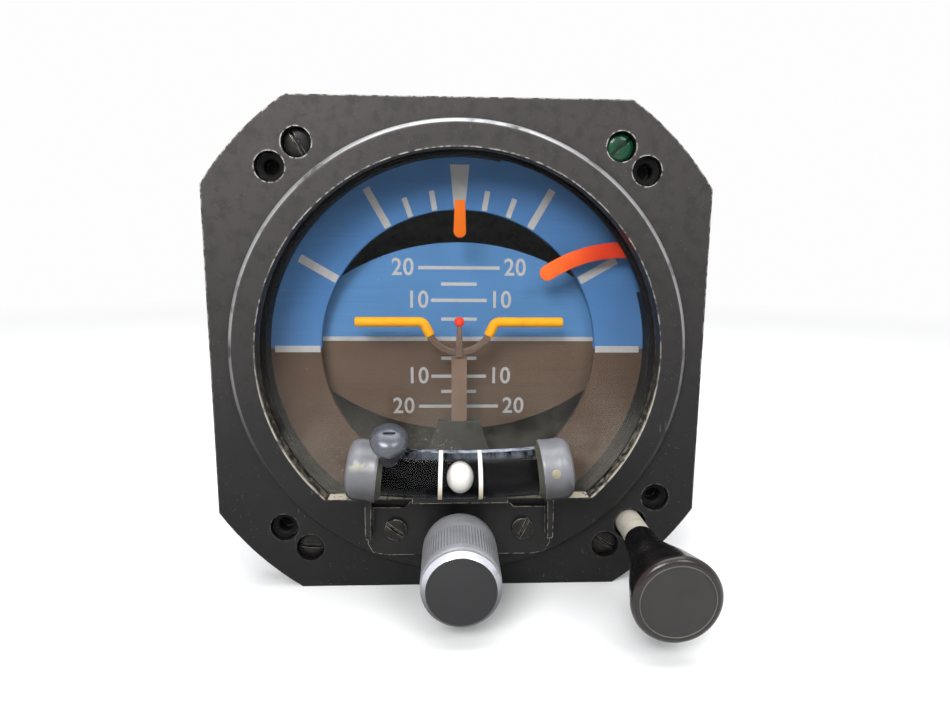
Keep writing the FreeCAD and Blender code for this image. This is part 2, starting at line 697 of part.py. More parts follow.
def make_roll_frame():
    arms = tube(RING_OUTER_R, RING_OUTER_R - ARM_WALL, RING_BACK, ROLL_DISC_BACK)
    arms = arms.common(box(-REACH, REACH, 0, ROLL_DISC_BACK + 1, -ARM_HALF, ARM_HALF))
    disc = cyl(RING_OUTER_R, ROLL_DISC_FRONT, ROLL_DISC_BACK)
    opening_r = (RING_OUTER_R - ROLL_COLLAR_R) / 2 - 6.5
    opening = cyl(opening_r, ROLL_DISC_FRONT - 1, ROLL_DISC_BACK + 1, ROLL_COLLAR_R + opening_r + 7.5)
    for angle in (45.0, 135.0, 225.0, 315.0):
        disc = disc.cut(about_y(opening, angle))
    collar = cyl(ROLL_COLLAR_R, ROLL_DISC_FRONT, HUB_FRONT - AIR)
    shaft = cyl(ROLL_SHAFT_R, ROLL_DISC_FRONT, ROLL_NUT_END + 1.0)
    body = union([arms, disc, collar, shaft])
    body = body.cut(cyl_x(BUSH_R + PRESS, -REACH, REACH, PITCH_Y))
    body = body.cut(cyl_x(DIAL_PIN_R + PRESS, -REACH, REACH, DIAL_PIVOT_Y))
    return body.removeSplitter()


def make_roll_nut():
    return tube(ROLL_NUT_R, ROLL_SHAFT_R + PRESS, HUB_END + AIR, ROLL_NUT_END)


def make_gimbal_bushings():
    out = []
    for x0, x1 in ((-BUSH_OUT, -BUSH_IN), (BUSH_IN, BUSH_OUT)):
        ring = cyl_x(BUSH_R, x0, x1, PITCH_Y)
        out.append(ring.cut(cyl_x(TRUNNION_R + RUN, x0 - 1, x1 + 1, PITCH_Y)))
    return Part.makeCompound(out)


def make_dial_pivots():
    out = []
    outer = math.sqrt(RING_OUTER_R ** 2 - DIAL_PIN_R ** 2) - 0.2
    head_out = DIAL_ARM_IN - 0.2
    for side in (-1, 1):
        pin = cyl_x(DIAL_PIN_R, head_out, outer, DIAL_PIVOT_Y)
        head = cyl_x(DIAL_PIN_HEAD_R, head_out - DIAL_PIN_HEAD_T, head_out, DIAL_PIVOT_Y)
        part = pin.fuse(head).removeSplitter()
        if side < 0:
            part = about_y(part, 180)
        out.append(part)
    return Part.makeCompound(out)


# ---------------------------------------------------------------- gyro
def make_gyro_housing():
    can = cyl_z(HOUSING_R, HOUSING_BOTTOM, HOUSING_TOP)
    bottom = [e for e in can.Edges if abs(e.CenterOfMass.z - HOUSING_BOTTOM) < 1e-6]
    can = can.makeChamfer(HOUSING_BEVEL, bottom)
    bosses = cyl_x(BOSS_R, -BOSS_END, BOSS_END, PITCH_Y)
    can = can.fuse(bosses)
    inner = cyl_z(HOUSING_R - HOUSING_WALL, HOUSING_BOTTOM + HOUSING_WALL, HOUSING_TOP + 1)
    can = can.cut(inner)
    seat = cyl_z(SPIN_BOSS_R, HOUSING_BOTTOM + 1, HOUSING_BOTTOM + HOUSING_WALL + SPIN_BEARING_W)
    can = can.fuse(seat)
    can = can.cut(cyl_z(SPIN_BEARING_R + PRESS, HOUSING_BOTTOM + HOUSING_WALL, 0))
    for side in (-1, 1):
        x0 = HOUSING_R - HOUSING_WALL - 1
        pin = cyl_x(TRUNNION_R + PRESS, x0, BOSS_END + 1, PITCH_Y)
        if side < 0:
            pin = about_y(pin, 180)
        can = can.cut(pin)
    return can.removeSplitter()


def make_gyro_cap():
    lid = cyl_z(HOUSING_R, HOUSING_TOP, HOUSING_TOP + CAP_T)
    rim = [e for e in lid.Edges if abs(e.CenterOfMass.z - HOUSING_TOP - CAP_T) < 1e-6]
    lid = lid.makeChamfer(CAP_BEVEL, rim)
    spigot = cyl_z(HOUSING_R - HOUSING_WALL - 0.1, HOUSING_TOP - 1.0, HOUSING_TOP)
    neck = cyl_z(SPIN_BOSS_R, STATOR_BOTTOM, HOUSING_TOP)
    body = union([lid, spigot, neck])
    body = body.cut(cyl_z(SPIN_SHAFT_R + 1.0, 0, HOUSING_TOP - 1))
    body = body.cut(cyl_z(SPIN_BEARING_R + PRESS, HOUSING_TOP - SPIN_BEARING_W, HOUSING_TOP))
    return body.removeSplitter()


STATOR_BOTTOM = WEB_T / 2 + 2.0


def make_stator():
    core = cyl_z(STATOR_R, STATOR_BOTTOM, STATOR_BOTTOM + STATOR_H)
    for k in range(STATOR_TEETH):
        top = STATOR_BOTTOM + STATOR_H + 1
        slot = box(SPIN_BOSS_R + 3.0, STATOR_R + 1, -0.9, 0.9, STATOR_BOTTOM - 1, top)
        slot.rotate(V(0, 0, 0), V(0, 0, 1), 360.0 * k / STATOR_TEETH)
        slot.translate(V(0, PITCH_Y, 0))
        core = core.cut(slot)
    return core.cut(cyl_z(SPIN_BOSS_R + PRESS, 0, HOUSING_TOP))


def make_gyro_rotor():
    rim = cyl_z(ROTOR_R, -ROTOR_HALF_H, ROTOR_HALF_H)
    hollow = cyl_z(ROTOR_R - ROTOR_RIM_T, -ROTOR_HALF_H - 1, ROTOR_HALF_H + 1)
    hollow = hollow.cut(cyl_z(ROTOR_R, -WEB_T / 2, WEB_T / 2))
    rim = rim.cut(hollow)
    rim = rim.fuse(cyl_z(ROTOR_HUB_R, -5.0, WEB_T / 2))
    return rim.cut(cyl_z(SPIN_SHAFT_R + PRESS, -30, 30)).removeSplitter()


def make_rotor_shaft():
    return cyl_z(SPIN_SHAFT_R, HOUSING_BOTTOM + HOUSING_WALL + 0.2, HOUSING_TOP - 0.2)


def make_rotor_bearings():
    out = []
    low = HOUSING_BOTTOM + HOUSING_WALL
    for z0 in (low, HOUSING_TOP - SPIN_BEARING_W):
        ring = cyl_z(SPIN_BEARING_R, z0, z0 + SPIN_BEARING_W)
        out.append(ring.cut(cyl_z(SPIN_SHAFT_R + RUN, z0 - 1, z0 + SPIN_BEARING_W + 1)))
    return Part.makeCompound(out)


def make_trunnions():
    out = []
    for side in (-1, 1):
        pin = cyl_x(TRUNNION_R, HOUSING_R - HOUSING_WALL + 0.2, TRUNNION_END, PITCH_Y)
        if side < 0:
            pin = about_y(pin, 180)
        out.append(pin)
    return Part.makeCompound(out)


def hung(shape):
    # the cap and the stator hang below the pitch axis, so that the gyro is bottom heavy
    return about_y(shape, 180)


def make_balance_weight():
    # a brass slug behind the housing balances the dial and the drive arm
    slug = cyl(BALANCE_R, PITCH_Y + HOUSING_R - 1.5, PITCH_Y + HOUSING_R + BALANCE_T)
    slug.rotate(V(0, PITCH_Y, 0), V(0, 0, 1), BALANCE_TURN)
    slug = slug.cut(cyl_z(HOUSING_R + PRESS, HOUSING_BOTTOM, HOUSING_TOP))
    return max(slug.Solids, key=lambda v: v.Volume)


def make_drive_arm():
    x0 = BOSS_END
    x1 = BOSS_END + DRIVE_ARM_T
    strip = box(x0, x1, DRIVE_Y, PITCH_Y, -2.0, 2.0)
    root = cyl_x(BOSS_R, x0, x1, PITCH_Y)
    tip = cyl_x(2.0, x0, x1, DRIVE_Y)
    pin = cyl_x(DRIVE_PIN_R, x0, DRIVE_PIN_END, DRIVE_Y)
    body = union([strip, root, tip, pin])
    return body.cut(cyl_x(TRUNNION_R + PRESS, x0 - 1, x1 + 1, PITCH_Y))


# ---------------------------------------------------------------- pitch dial
def make_pitch_dial():
    shell = cyl_x(DIAL_R, -DIAL_HALF_W, DIAL_HALF_W, DIAL_PIVOT_Y)
    shell = shell.cut(cyl_x(DIAL_R - DIAL_T, -DIAL_HALF_W - 1, DIAL_HALF_W + 1, DIAL_PIVOT_Y))
    shell = shell.common(box(-REACH, REACH, 0, DIAL_PIVOT_Y / 2, -REACH, REACH))
    offset = DIAL_EDGE_R - DIAL_HALF_H
    upper = cyl(DIAL_EDGE_R, 0, DIAL_PIVOT_Y, 0, DIAL_LIFT - offset)
    lower = cyl(DIAL_EDGE_R, 0, DIAL_PIVOT_Y, 0, DIAL_LIFT + offset)
    return shell.common(upper).common(lower)


def make_dial_arms():
    x0 = DIAL_ARM_IN
    x1 = DIAL_ARM_OUT
    strip = box(x0, x1, 0, DIAL_PIVOT_Y, -DIAL_ARM_HALF, DIAL_ARM_HALF)
    eye = cyl_x(DIAL_EYE_R, x0, x1, DIAL_PIVOT_Y)
    loop = box(x0, x1, PITCH_Y - LOOP_HALF_L, PITCH_Y + LOOP_HALF_L, -LOOP_HALF_H, LOOP_HALF_H)
    long_edges = [e for e in loop.Edges if abs(e.BoundBox.XLength - (x1 - x0)) < 1e-6]
    loop = loop.makeFillet(4.0, long_edges)
    room_l = LOOP_HALF_L - LOOP_RIM
    room_h = LOOP_HALF_H - LOOP_RIM
    room = box(x0 - 1, x1 + 1, PITCH_Y - room_l, PITCH_Y + room_l, -room_h, room_h)
    room_edges = [e for e in room.Edges if abs(e.BoundBox.XLength - (x1 - x0 + 2)) < 1e-6]
    room = room.makeFillet(2.0, room_edges)
    arm = union([strip, eye, loop]).cut(room)
    arm = arm.cut(cyl_x(DIAL_PIN_R + RUN, x0 - 1, x1 + 1, DIAL_PIVOT_Y))
    arm = arm.common(cyl_x(DIAL_R - DIAL_T, x0 - 1, x1 + 1, DIAL_PIVOT_Y))
    left = about_y(arm, 180)
    # slot in the right arm for the drive pin, long enough for its change of radius
    reach = DIAL_PIVOT_Y - DRIVE_Y
    side = PITCH_Y - DRIVE_Y
    swing = math.radians(PITCH_RANGE)
    far = math.hypot(side * math.sin(swing), DIAL_PIVOT_Y - PITCH_Y + side * math.cos(swing))
    w = DRIVE_PIN_R + SLIP
    y0 = DRIVE_Y - 0.1
    y1 = DRIVE_Y + (reach - far) + 0.1
    slot = box(x0 - 1, x1 + 1, y0, y1, -w, w)
    slot = slot.fuse(cyl_x(w, x0 - 1, x1 + 1, y0)).fuse(cyl_x(w, x0 - 1, x1 + 1, y1))
    return Part.makeCompound([left, arm.cut(slot).removeSplitter()])


# ---------------------------------------------------------------- flag
def make_flag():
    y0 = FLAG_Y
    y1 = FLAG_Y + FLAG_T
    ro = FLAG_ARC_R + FLAG_W / 2
    ri = FLAG_ARC_R - FLAG_W / 2
    band = tube(ro, ri, y0, y1, FLAG_ARC_X, FLAG_ARC_Z)
    tip_z = FLAG_ARC_Z + math.sqrt(FLAG_ARC_R ** 2 - (FLAG_TIP_X - FLAG_ARC_X) ** 2)
    bend_x = FLAG_ARC_X + 1.0
    bend_z = FLAG_ARC_Z + math.sqrt(FLAG_ARC_R ** 2 - 1.0)
    keep = slab([
        (FLAG_ARC_X, FLAG_ARC_Z),
        (FLAG_ARC_X + 2 * (FLAG_TIP_X - FLAG_ARC_X), FLAG_ARC_Z + 2 * (tip_z - FLAG_ARC_Z)),
        (FLAG_ARC_X, FLAG_ARC_Z + 3 * FLAG_ARC_R),
        (FLAG_ARC_X + 2.0, FLAG_ARC_Z + 2 * FLAG_ARC_R),
    ], y0 - 1, y1 + 1)
    band = band.common(keep)
    tip = cyl(FLAG_W / 2, y0, y1, FLAG_TIP_X, tip_z)
    dx = FLAG_X - bend_x
    dz = FLAG_Z - bend_z
    length = math.hypot(dx, dz)
    arm = box(0, length, y0, y1, -0.9, 0.9)
    arm = about_y(arm, -math.degrees(math.atan2(dz, dx))).translated(V(bend_x, 0, bend_z))
    knee = cyl(FLAG_W / 2, y0, y1, bend_x, bend_z)
    eye = cyl(FLAG_EYE_R, y0, y1, FLAG_X, FLAG_Z)
    body = union([band, tip, arm, knee, eye])
    return body.cut(cyl(FLAG_PIN_R + RUN, y0 - 1, y1 + 1, FLAG_X, FLAG_Z))


def make_flag_pivot():
    pin = cyl(FLAG_PIN_R, FLAG_Y - 0.7, CASE_BACK - 0.3, FLAG_X, FLAG_Z)
    head = cyl(1.3, FLAG_Y - 0.8, FLAG_Y - 0.15, FLAG_X, FLAG_Z)
    return pin.fuse(head).removeSplitter()


def make_flag_coil():
    y1 = MOUTH_END + 0.5
    return tube(COIL_R, FLAG_PIN_R + PRESS, y1 - COIL_W, y1, FLAG_X, FLAG_Z)


# ---------------------------------------------------------------- miniature airplane
def bent_wire(points, r, bend):
    # straight runs of round wire joined by arcs
    edges = []
    last = V(*points[0])
    for k in range(1, len(points) - 1):
        here = V(*points[k])
        back = (V(*points[k - 1]) - here).normalize()
        ahead = (V(*points[k + 1]) - here).normalize()
        half = back.getAngle(ahead) / 2
        cut = bend / math.tan(half)
        a = here + back * cut
        b = here + ahead * cut
        middle = (back + ahead).normalize()
        centre = here + middle * (bend / math.sin(half))
        top = centre - middle * bend
        edges.append(Part.makeLine(last, a))
        edges.append(Part.Arc(a, top, b).toShape())
        last = b
    edges.append(Part.makeLine(last, V(*points[-1])))
    wire = Part.Wire(edges)
    start = V(*points[0])
    way = V(*points[1]) - start
    ring = Part.Wire(Part.makeCircle(r, start, way))
    return wire.makePipeShell([ring], True, False)


def make_airplane_wings():
    y = SYMBOL_Y
    out = []
    for side in (-1, 1):
        pts = [
            (side * WING_TIP, y, WING_Z),
            (side * WING_BEND_X, y, WING_Z),
            (side * WING_ROOT_X, y, WING_ROOT_Z),
        ]
        out.append(bent_wire(pts, WIRE_R, 1.2))
    return Part.makeCompound(out)


def make_airplane_yoke():
    # a flat half ring that carries the wings, with a tapered post up to the centre dot
    rise = WING_ROOT_Z - YOKE_Z
    r = (WING_ROOT_X ** 2 + rise ** 2) / (2 * rise)
    zc = YOKE_Z + r
    y0 = SYMBOL_Y - YOKE_T / 2
    y1 = SYMBOL_Y + YOKE_T / 2
    ring = tube(r + YOKE_W / 2, r - YOKE_W / 2, y0, y1, 0, zc)
    reach = WING_ROOT_X - 0.55 * WIRE_R
    ring = ring.common(box(-reach, reach, y0 - 1, y1 + 1, YOKE_Z - YOKE_W, WING_ROOT_Z))
    post = slab([
        (-0.75, STRIP_TOP), (0.75, STRIP_TOP), (0.45, WING_Z - DOT_R), (-0.45, WING_Z - DOT_R),
    ], y0, y1)
    body = ring.fuse(post)
    for wing in make_airplane_wings().Solids:
        body = body.cut(wing)
    return max(body.removeSplitter().Solids, key=lambda v: v.Volume)


def make_airplane_dot():
    y = SYMBOL_Y - 0.9
    return turned([
        (0, y - 0.1), (0.55 * DOT_R, y), (DOT_R, y + 0.5), (DOT_R, y + 1.3),
        (0.6 * DOT_R, y + 1.8), (0, y + 1.8),
    ], 0, WING_Z + 0.02)


def make_airplane_strip():
    half = STRIP_W / 2
    y0 = SYMBOL_Y - STRIP_T / 2
    y1 = SYMBOL_Y + STRIP_T / 2
    rack_x = GEAR_PITCH_R + 1.25 * MODULE
    stem = box(-half, half, y0, y1, JOG_BOTTOM, STRIP_TOP)
    jog = box(-half, rack_x + RACK_BACK_T, y0, y1, JOG_BOTTOM, JOG_TOP)
    low = ADJUST_Z - SYMBOL_TRAVEL - 0.8
    back = box(rack_x, rack_x + RACK_BACK_T, PINION_FRONT, PINION_FRONT + PINION_W - 0.1, low, JOG_TOP)
    pieces = [stem, jog, back]
    pitch = math.pi * MODULE
    tip_x = GEAR_PITCH_R - MODULE + 0.05
    n = int((JOG_BOTTOM - low) / pitch) - 0
    for k in range(-n, n + 1):
        z = ADJUST_Z + k * pitch
        if z - 0.45 * pitch < low or z + 0.45 * pitch > JOG_BOTTOM - 0.2:
            continue
        tooth = slab([
            (rack_x + 0.1, z - 0.40 * pitch),
            (tip_x, z - 0.11 * pitch),
            (tip_x, z + 0.11 * pitch),
            (rack_x + 0.1, z + 0.40 * pitch),
        ], PINION_FRONT, PINION_FRONT + PINION_W - 0.1)
        pieces.append(tooth)
    return union(pieces)


def guide_half(z):
    return GUIDE_TOP_HALF + GUIDE_SLOPE * (GUIDE_TOP - z)


def make_airplane_guide():
    top_h = guide_half(GUIDE_TOP)
    low_h = guide_half(GUIDE_FOOT)
    body = slab([
        (-top_h, GUIDE_TOP),
        (top_h, GUIDE_TOP),
        (low_h, GUIDE_FOOT),
        (-low_h, GUIDE_FOOT),
    ], GUIDE_FRONT, GUIDE_BACK)
    half = STRIP_W / 2 + SLIP
    y0 = SYMBOL_Y - STRIP_T / 2 - SLIP
    y1 = SYMBOL_Y + STRIP_T / 2 + SLIP
    body = body.cut(box(-half, half, y0, y1, GUIDE_FOOT - 1, GUIDE_TOP + 1))
    room_top = JOG_TOP + SYMBOL_TRAVEL + 0.3
    rack_x = GEAR_PITCH_R + 1.25 * MODULE + RACK_BACK_T
    front = PINION_FRONT - 0.15
    room = box(-half, rack_x + SLIP, front, PINION_FRONT + PINION_W + 0.1, GUIDE_FOOT - 1, room_top)
    return body.cut(room).removeSplitter()


# ---------------------------------------------------------------- adjusting knob and pinion
def make_adjust_shaft():
    shaft = cyl(ADJUST_SHAFT_R, KNOB_FRONT + 3.0, PINION_FRONT, 0, ADJUST_Z)
    tip_r = GEAR_PITCH_R + MODULE - 0.08
    root_r = GEAR_PITCH_R - 1.25 * MODULE
    points = []
    for k in range(PINION_TEETH):
        # a tooth of the rack stands level with the shaft, so a gap of the pinion faces it
        base = 360.0 * (k + 0.5) / PINION_TEETH
        step = 360.0 / PINION_TEETH
        for r, off in ((root_r, -0.36), (GEAR_PITCH_R, -0.20), (tip_r, -0.07), (tip_r, 0.07),
                       (GEAR_PITCH_R, 0.20), (root_r, 0.36)):
            a = math.radians(base + off * step)
            points.append((r * math.cos(a), ADJUST_Z + r * math.sin(a)))
    pinion = slab(points, PINION_FRONT, PINION_FRONT + PINION_W)
    return shaft.fuse(pinion).removeSplitter()


def make_adjust_knob():
    r = KNOB_R
    knob = turned([
        (0, KNOB_FRONT),
        (r - 1.1, KNOB_FRONT),
        (r - 0.15, KNOB_FRONT + KNOB_CHAMFER),
        (r - 0.15, KNOB_FRONT + KNOB_CHAMFER + 0.4),
        (r - 0.45, KNOB_FRONT + KNOB_CHAMFER + 0.6),
        (r - 0.45, KNOB_FRONT + KNOB_CHAMFER + 1.0),
        (r, KNOB_FRONT + KNOB_CHAMFER + 1.3),
        (r, KNOB_BACK - 3.4),
        (r - 0.25, KNOB_BACK - 1.6),
        (r - 0.9, KNOB_BACK - 0.5),
        (r - 1.8, KNOB_BACK),
        (0, KNOB_BACK),
    ], 0, ADJUST_Z)
    return knob.cut(cyl(ADJUST_SHAFT_R + PRESS, KNOB_FRONT + 3.0, 0, 0, ADJUST_Z))


# ---------------------------------------------------------------- caging knob, shaft, spring, ring
def make_caging_knob():
    # the trumpet neck is a smooth curve between the collar and the wide head
    shares = [
        (0, 0), (0.39, 0), (0.43, 0.08), (0.51, 0.33), (0.72, 0.56), (0.9, 0.78), (1.0, 0.93),
        (1.0, 0.97), (0.913, 1.0), (0.855, 1.0), (0.833, 0.988), (0, 0.988),
    ]
    length = CAGE_KNOB_BACK - CAGE_KNOB_FACE
    knob = turned([(CAGE_KNOB_R * r, CAGE_KNOB_BACK - length * t) for r, t in shares], CAGE_X, CAGE_Z)
    return knob.cut(cyl(CAGE_SHAFT_THIN_R + PRESS, CAGE_SHAFT_FRONT, 0, CAGE_X, CAGE_Z))


def make_caging_shaft():
    thick = cyl(CAGE_SHAFT_R, CAGE_KNOB_BACK, CAGE_STEP_Y, CAGE_X, CAGE_Z)
    thin = cyl(CAGE_SHAFT_THIN_R, CAGE_SHAFT_FRONT, CAGE_END, CAGE_X, CAGE_Z)
    collar = cyl(CAGE_COLLAR_R, CAGE_COLLAR_Y, CAGE_COLLAR_Y + CAGE_COLLAR_T, CAGE_X, CAGE_Z)
    return union([thin, thick, collar])


def make_caging_spring():
    y0 = LOBE_START + SPRING_WIRE_R + 0.05
    y1 = CAGE_COLLAR_Y - SPRING_WIRE_R - 0.05
    helix = Part.makeHelix((y1 - y0) / SPRING_TURNS, y1 - y0, SPRING_R)
    a = SPRING_WIRE_R
    section = Part.makePolygon([
        V(SPRING_R - a, 0, -a),
        V(SPRING_R + a, 0, -a),
        V(SPRING_R + a, 0, a),
        V(SPRING_R - a, 0, a),
        V(SPRING_R - a, 0, -a),
    ])
    coil = Part.Wire(helix).makePipeShell([section], True, True)
    coil.rotate(V(0, 0, 0), V(1, 0, 0), -90)
    coil.translate(V(CAGE_X, y0, CAGE_Z))
    return coil


def make_caging_ring():
    y0 = CAGE_RING_Y
    y1 = CAGE_RING_Y + CAGE_RING_T
    ring = cyl(CAGE_RING_OUT, y0, y1)
    arm = about_y(box(0, BOLT_R, y0, y1, -CAGE_ARM_HALF, CAGE_ARM_HALF), BOLT_ANGLE)
    eye = cyl(LOBE_BORE_R - 0.2, y0, y1, CAGE_X, CAGE_Z)
    body = union([ring, arm, eye])
    body = body.cut(cyl(CAGE_RING_IN, y0 - 1, y1 + 1))
    return body.cut(cyl(CAGE_SHAFT_THIN_R + PRESS, y0 - 1, y1 + 1, CAGE_X, CAGE_Z)).removeSplitter()


# ---------------------------------------------------------------- inclinometer
def arc_angle(x):
    return math.degrees(math.asin(x / TUBE_BEND_R))


def swept_ring(ro, ri, x0, x1):
    # a length of round tube bent about a line parallel to Y above the instrument
    face = Part.Face(Part.Wire(Part.makeCircle(ro, V(0, TUBE_Y, TUBE_Z), V(1, 0, 0))))
    if ri > 0:
        inner = Part.Face(Part.Wire(Part.makeCircle(ri, V(0, TUBE_Y, TUBE_Z), V(1, 0, 0))))
        face = face.cut(inner).Faces[0]
    a0 = arc_angle(x0)
    a1 = arc_angle(x1)
    start = about_y(face, -a0, 0, TUBE_ARC_Z)
    return start.revolve(V(0, 0, TUBE_ARC_Z), V(0, 1, 0), -(a1 - a0))


def along_tube(shape, x):
    # moves a shape from the middle of the tube to another place along its bend
    return about_y(shape, -arc_angle(x), 0, TUBE_ARC_Z)


def make_inclinometer_tube():
    return swept_ring(TUBE_R, TUBE_BORE_R, -TUBE_HALF, TUBE_HALF)


def make_inclinometer_ball():
    return Part.makeSphere(BALL_R, V(0, TUBE_Y, TUBE_Z))


def make_index_bands():
    out = []
    for side in (-1, 1):
        half = BAND_W / 2
        band = cyl_x(TUBE_R + PRESS + BAND_T, -half, half, TUBE_Y, TUBE_Z)
        band = band.cut(cyl_x(TUBE_R + PRESS, -1.0 - half, half + 1.0, TUBE_Y, TUBE_Z))
        out.append(along_tube(band, side * BAND_X))
    return Part.makeCompound(out)


def make_end_caps():
    out = []
    middle = (CAP_IN + CAP_OUT) / 2
    half = (CAP_OUT - CAP_IN) / 2
    for side in (-1, 1):
        r = CAP_ROUND
        outline = [(0, -half), (CAP_R - 0.5, -half), (CAP_R, 0.5 - half)]
        for k in range(3):
            a = math.radians(45.0 * k)
            outline.append((CAP_R - r + r * math.cos(a), half - r + r * math.sin(a)))
        outline.append((0, half))
        outline[0] = (TUBE_R + BOND, -half)
        deep = CAP_IN_DEPTH - half
        outline[-1] = (0, half)
        cap = turned(outline + [(0, deep), (TUBE_R + BOND, deep)])
        cap.rotate(V(0, 0, 0), V(0, 0, 1), -90)
        if side < 0:
            cap = about_y(cap, 180)
        cap.translate(V(0, TUBE_Y, TUBE_Z))
        cap = along_tube(cap, side * middle)
        out.append(cap)
    return Part.makeCompound(out)


def make_filler_plug():
    profile = [
        (0, 0), (2.3, 0), (2.1, 4.6), (1.75, 5.8), (2.2, 7.0), (PLUG_HEAD_R - 0.3, PLUG_HEAD_AT - 0.35),
        (PLUG_HEAD_R, PLUG_HEAD_AT), (PLUG_HEAD_R, PLUG_HEAD_AT + 0.5),
        (PLUG_HEAD_R - 0.5, PLUG_HEAD_AT + 1.3),
        (PLUG_HEAD_R - 1.4, PLUG_HEAD_AT + 1.8), (0, PLUG_HEAD_AT + 2.0),
    ]
    points = [V(r, 0, h) for r, h in profile]
    points.append(points[0])
    plug = Part.Face(Part.makePolygon(points)).revolve(V(0, 0, 0), V(0, 0, 1), 360)
    top = PLUG_HEAD_AT + 2.0
    slot = box(-5, 5, -SLOT_W / 2, SLOT_W / 2, top - 0.9, top + 1)
    plug = plug.cut(slot)
    plug.rotate(V(0, 0, 0), V(1, 0, 0), PLUG_TILT)
    plug.translate(V(0, TUBE_Y, TUBE_Z))
    plug = along_tube(plug, PLUG_X)
    plug = plug.cut(swept_ring(TUBE_R + PRESS, 0, -TUBE_HALF, TUBE_HALF))
    reach = (CAP_IN + CAP_OUT) / 2
    half = (CAP_OUT - CAP_IN) / 2
    cap = cyl_x(CAP_R + PRESS, -half - 0.02, half, TUBE_Y, TUBE_Z)
    plug = plug.cut(along_tube(cap, -reach))
    return max(plug.Solids, key=lambda s: s.Volume)


def make_inclinometer_bracket():
    y0 = -PILOT_H - BRACKET_T
    y1 = -PILOT_H
    half = BRACKET_HALF
    low = BRACKET_BOTTOM
    step = WINDOW_CHORD - 1.1
    top = TUBE_Z - TUBE_R + 1.0
    plate = slab([
        (-half, low), (half, low), (half - 0.2, low + 4.5), (half - 1.05, step),
        (SHELF_HALF + 1.5, step), (SHELF_HALF, step + 1.6), (SHELF_HALF, top),
        (-SHELF_HALF, top), (-SHELF_HALF, step + 1.6), (-SHELF_HALF - 1.5, step),
        (1.05 - half, step), (0.2 - half, low + 4.5),
    ], y0, y1)
    corners = [e for e in plate.Edges if e.BoundBox.ZLength < 1e-6 and e.BoundBox.XLength < 1e-6
               and e.CenterOfMass.z < low + 0.1]
    plate = plate.makeFillet(3.5, corners)
    # a shelf under the tube carries it, and a leg runs down from each end cap
    pieces = [plate]
    shelf = slab([
        (-SHELF_HALF, TUBE_Z - TUBE_R - 1.0), (SHELF_HALF, TUBE_Z - TUBE_R - 1.0),
        (SHELF_HALF, TUBE_Z), (-SHELF_HALF, TUBE_Z),
    ], TUBE_Y - 0.2, y1 - 0.2)
    pieces.append(shelf)
    for side in (-1, 1):
        inner = CAP_IN + 2.0
        x0 = min(side * inner, side * (inner + LEG_W))
        leg = box(x0, x0 + LEG_W, TUBE_Y + 1.6, y1, ADJUST_Z + 1.5, TUBE_Z - CAP_R + 2.4)
        rim = [e for e in leg.Edges if e.BoundBox.ZLength > 5 and e.CenterOfMass.y < TUBE_Y + 2]
        pieces.append(leg.makeFillet(0.3, rim))
    body = union(pieces)
    body = body.cut(swept_ring(TUBE_R + PRESS, 0, -TUBE_HALF, TUBE_HALF))
    for side in (-1, 1):
        half = BAND_W / 2 + 0.1
        band = cyl_x(TUBE_R + BAND_T + 3 * PRESS, -half, half, TUBE_Y, TUBE_Z)
        body = body.cut(along_tube(band, side * BAND_X))
    middle = (CAP_IN + CAP_OUT) / 2
    reach = (CAP_OUT - CAP_IN) / 2
    for side in (-1, 1):
        cap = cyl_x(CAP_R + PRESS, -reach - 0.1, reach + 0.1, TUBE_Y, TUBE_Z)
        body = body.cut(along_tube(cap, side * middle))
    for side in (-1, 1):
        x = side * BRACKET_SCREW_X
        body = body.cut(cyl(BRACKET_SCREW_R + SCREW_CLEAR, y0 - 1, y1 + 1, x, BRACKET_SCREW_Z))
    body = body.cut(cyl(ADJUST_SHAFT_R + 0.6, y0 - 1, y1 + 1, 0, ADJUST_Z))
    return max(body.removeSplitter().Solids, key=lambda s: s.Volume)


def make_bracket_screws():
    out = []
    face = -PILOT_H - BRACKET_T - 0.9
    for side, turn in ((-1, 42.0), (1, -62.0)):
        x = side * BRACKET_SCREW_X
        head = slotted_head(BRACKET_SCREW_HEAD_R, 0.9, face, x, BRACKET_SCREW_Z, turn, 0.45)
        shank = cyl(BRACKET_SCREW_R, face + 0.9, BEZEL_T - 0.8, x, BRACKET_SCREW_Z)
        out.append(head.fuse(shank).removeSplitter())
    return Part.makeCompound(out)


# ---------------------------------------------------------------- write every piece
save(make_bezel(), "bezel")
save(make_case(), "case")
save(make_bezel_screws(), "bezel_screws")
save(make_window_glass(), "window_glass")
save(make_window_gasket(), "window_gasket")
save(make_mask_ring(), "mask_ring")
save(make_bank_index(), "bank_index")
save(make_rear_plate(), "rear_plate")
save(make_roll_bearings(), "roll_bearings")
save(make_rear_cover(), "rear_cover")
save(make_rear_screws(), "rear_screws")
save(make_connector_shell(), "connector_shell")
save(make_connector_insert(), "connector_insert")
save(make_connector_screws(), "connector_screws")
save(make_bank_ring(), "bank_ring")
save(make_roll_frame(), "roll_frame")
save(make_roll_nut(), "roll_nut")
save(make_gimbal_bushings(), "gimbal_bushings")
save(make_dial_pivots(), "dial_pivots")
save(hung(make_gyro_housing()), "gyro_housing")
save(hung(make_gyro_cap()), "gyro_cap")
save(hung(make_stator()), "gyro_stator")
save(hung(make_gyro_rotor()), "gyro_rotor")
save(hung(make_rotor_shaft()), "rotor_shaft")
save(hung(make_rotor_bearings()), "rotor_bearings")
save(make_trunnions(), "pitch_trunnions")
save(make_drive_arm(), "dial_drive_arm")
save(make_balance_weight(), "balance_weight")
save(make_pitch_dial(), "pitch_dial")
save(make_dial_arms(), "dial_arms")
save(make_flag(), "power_flag")
save(make_flag_pivot(), "flag_pivot")
save(make_flag_coil(), "flag_coil")
save(make_airplane_wings(), "airplane_wings")
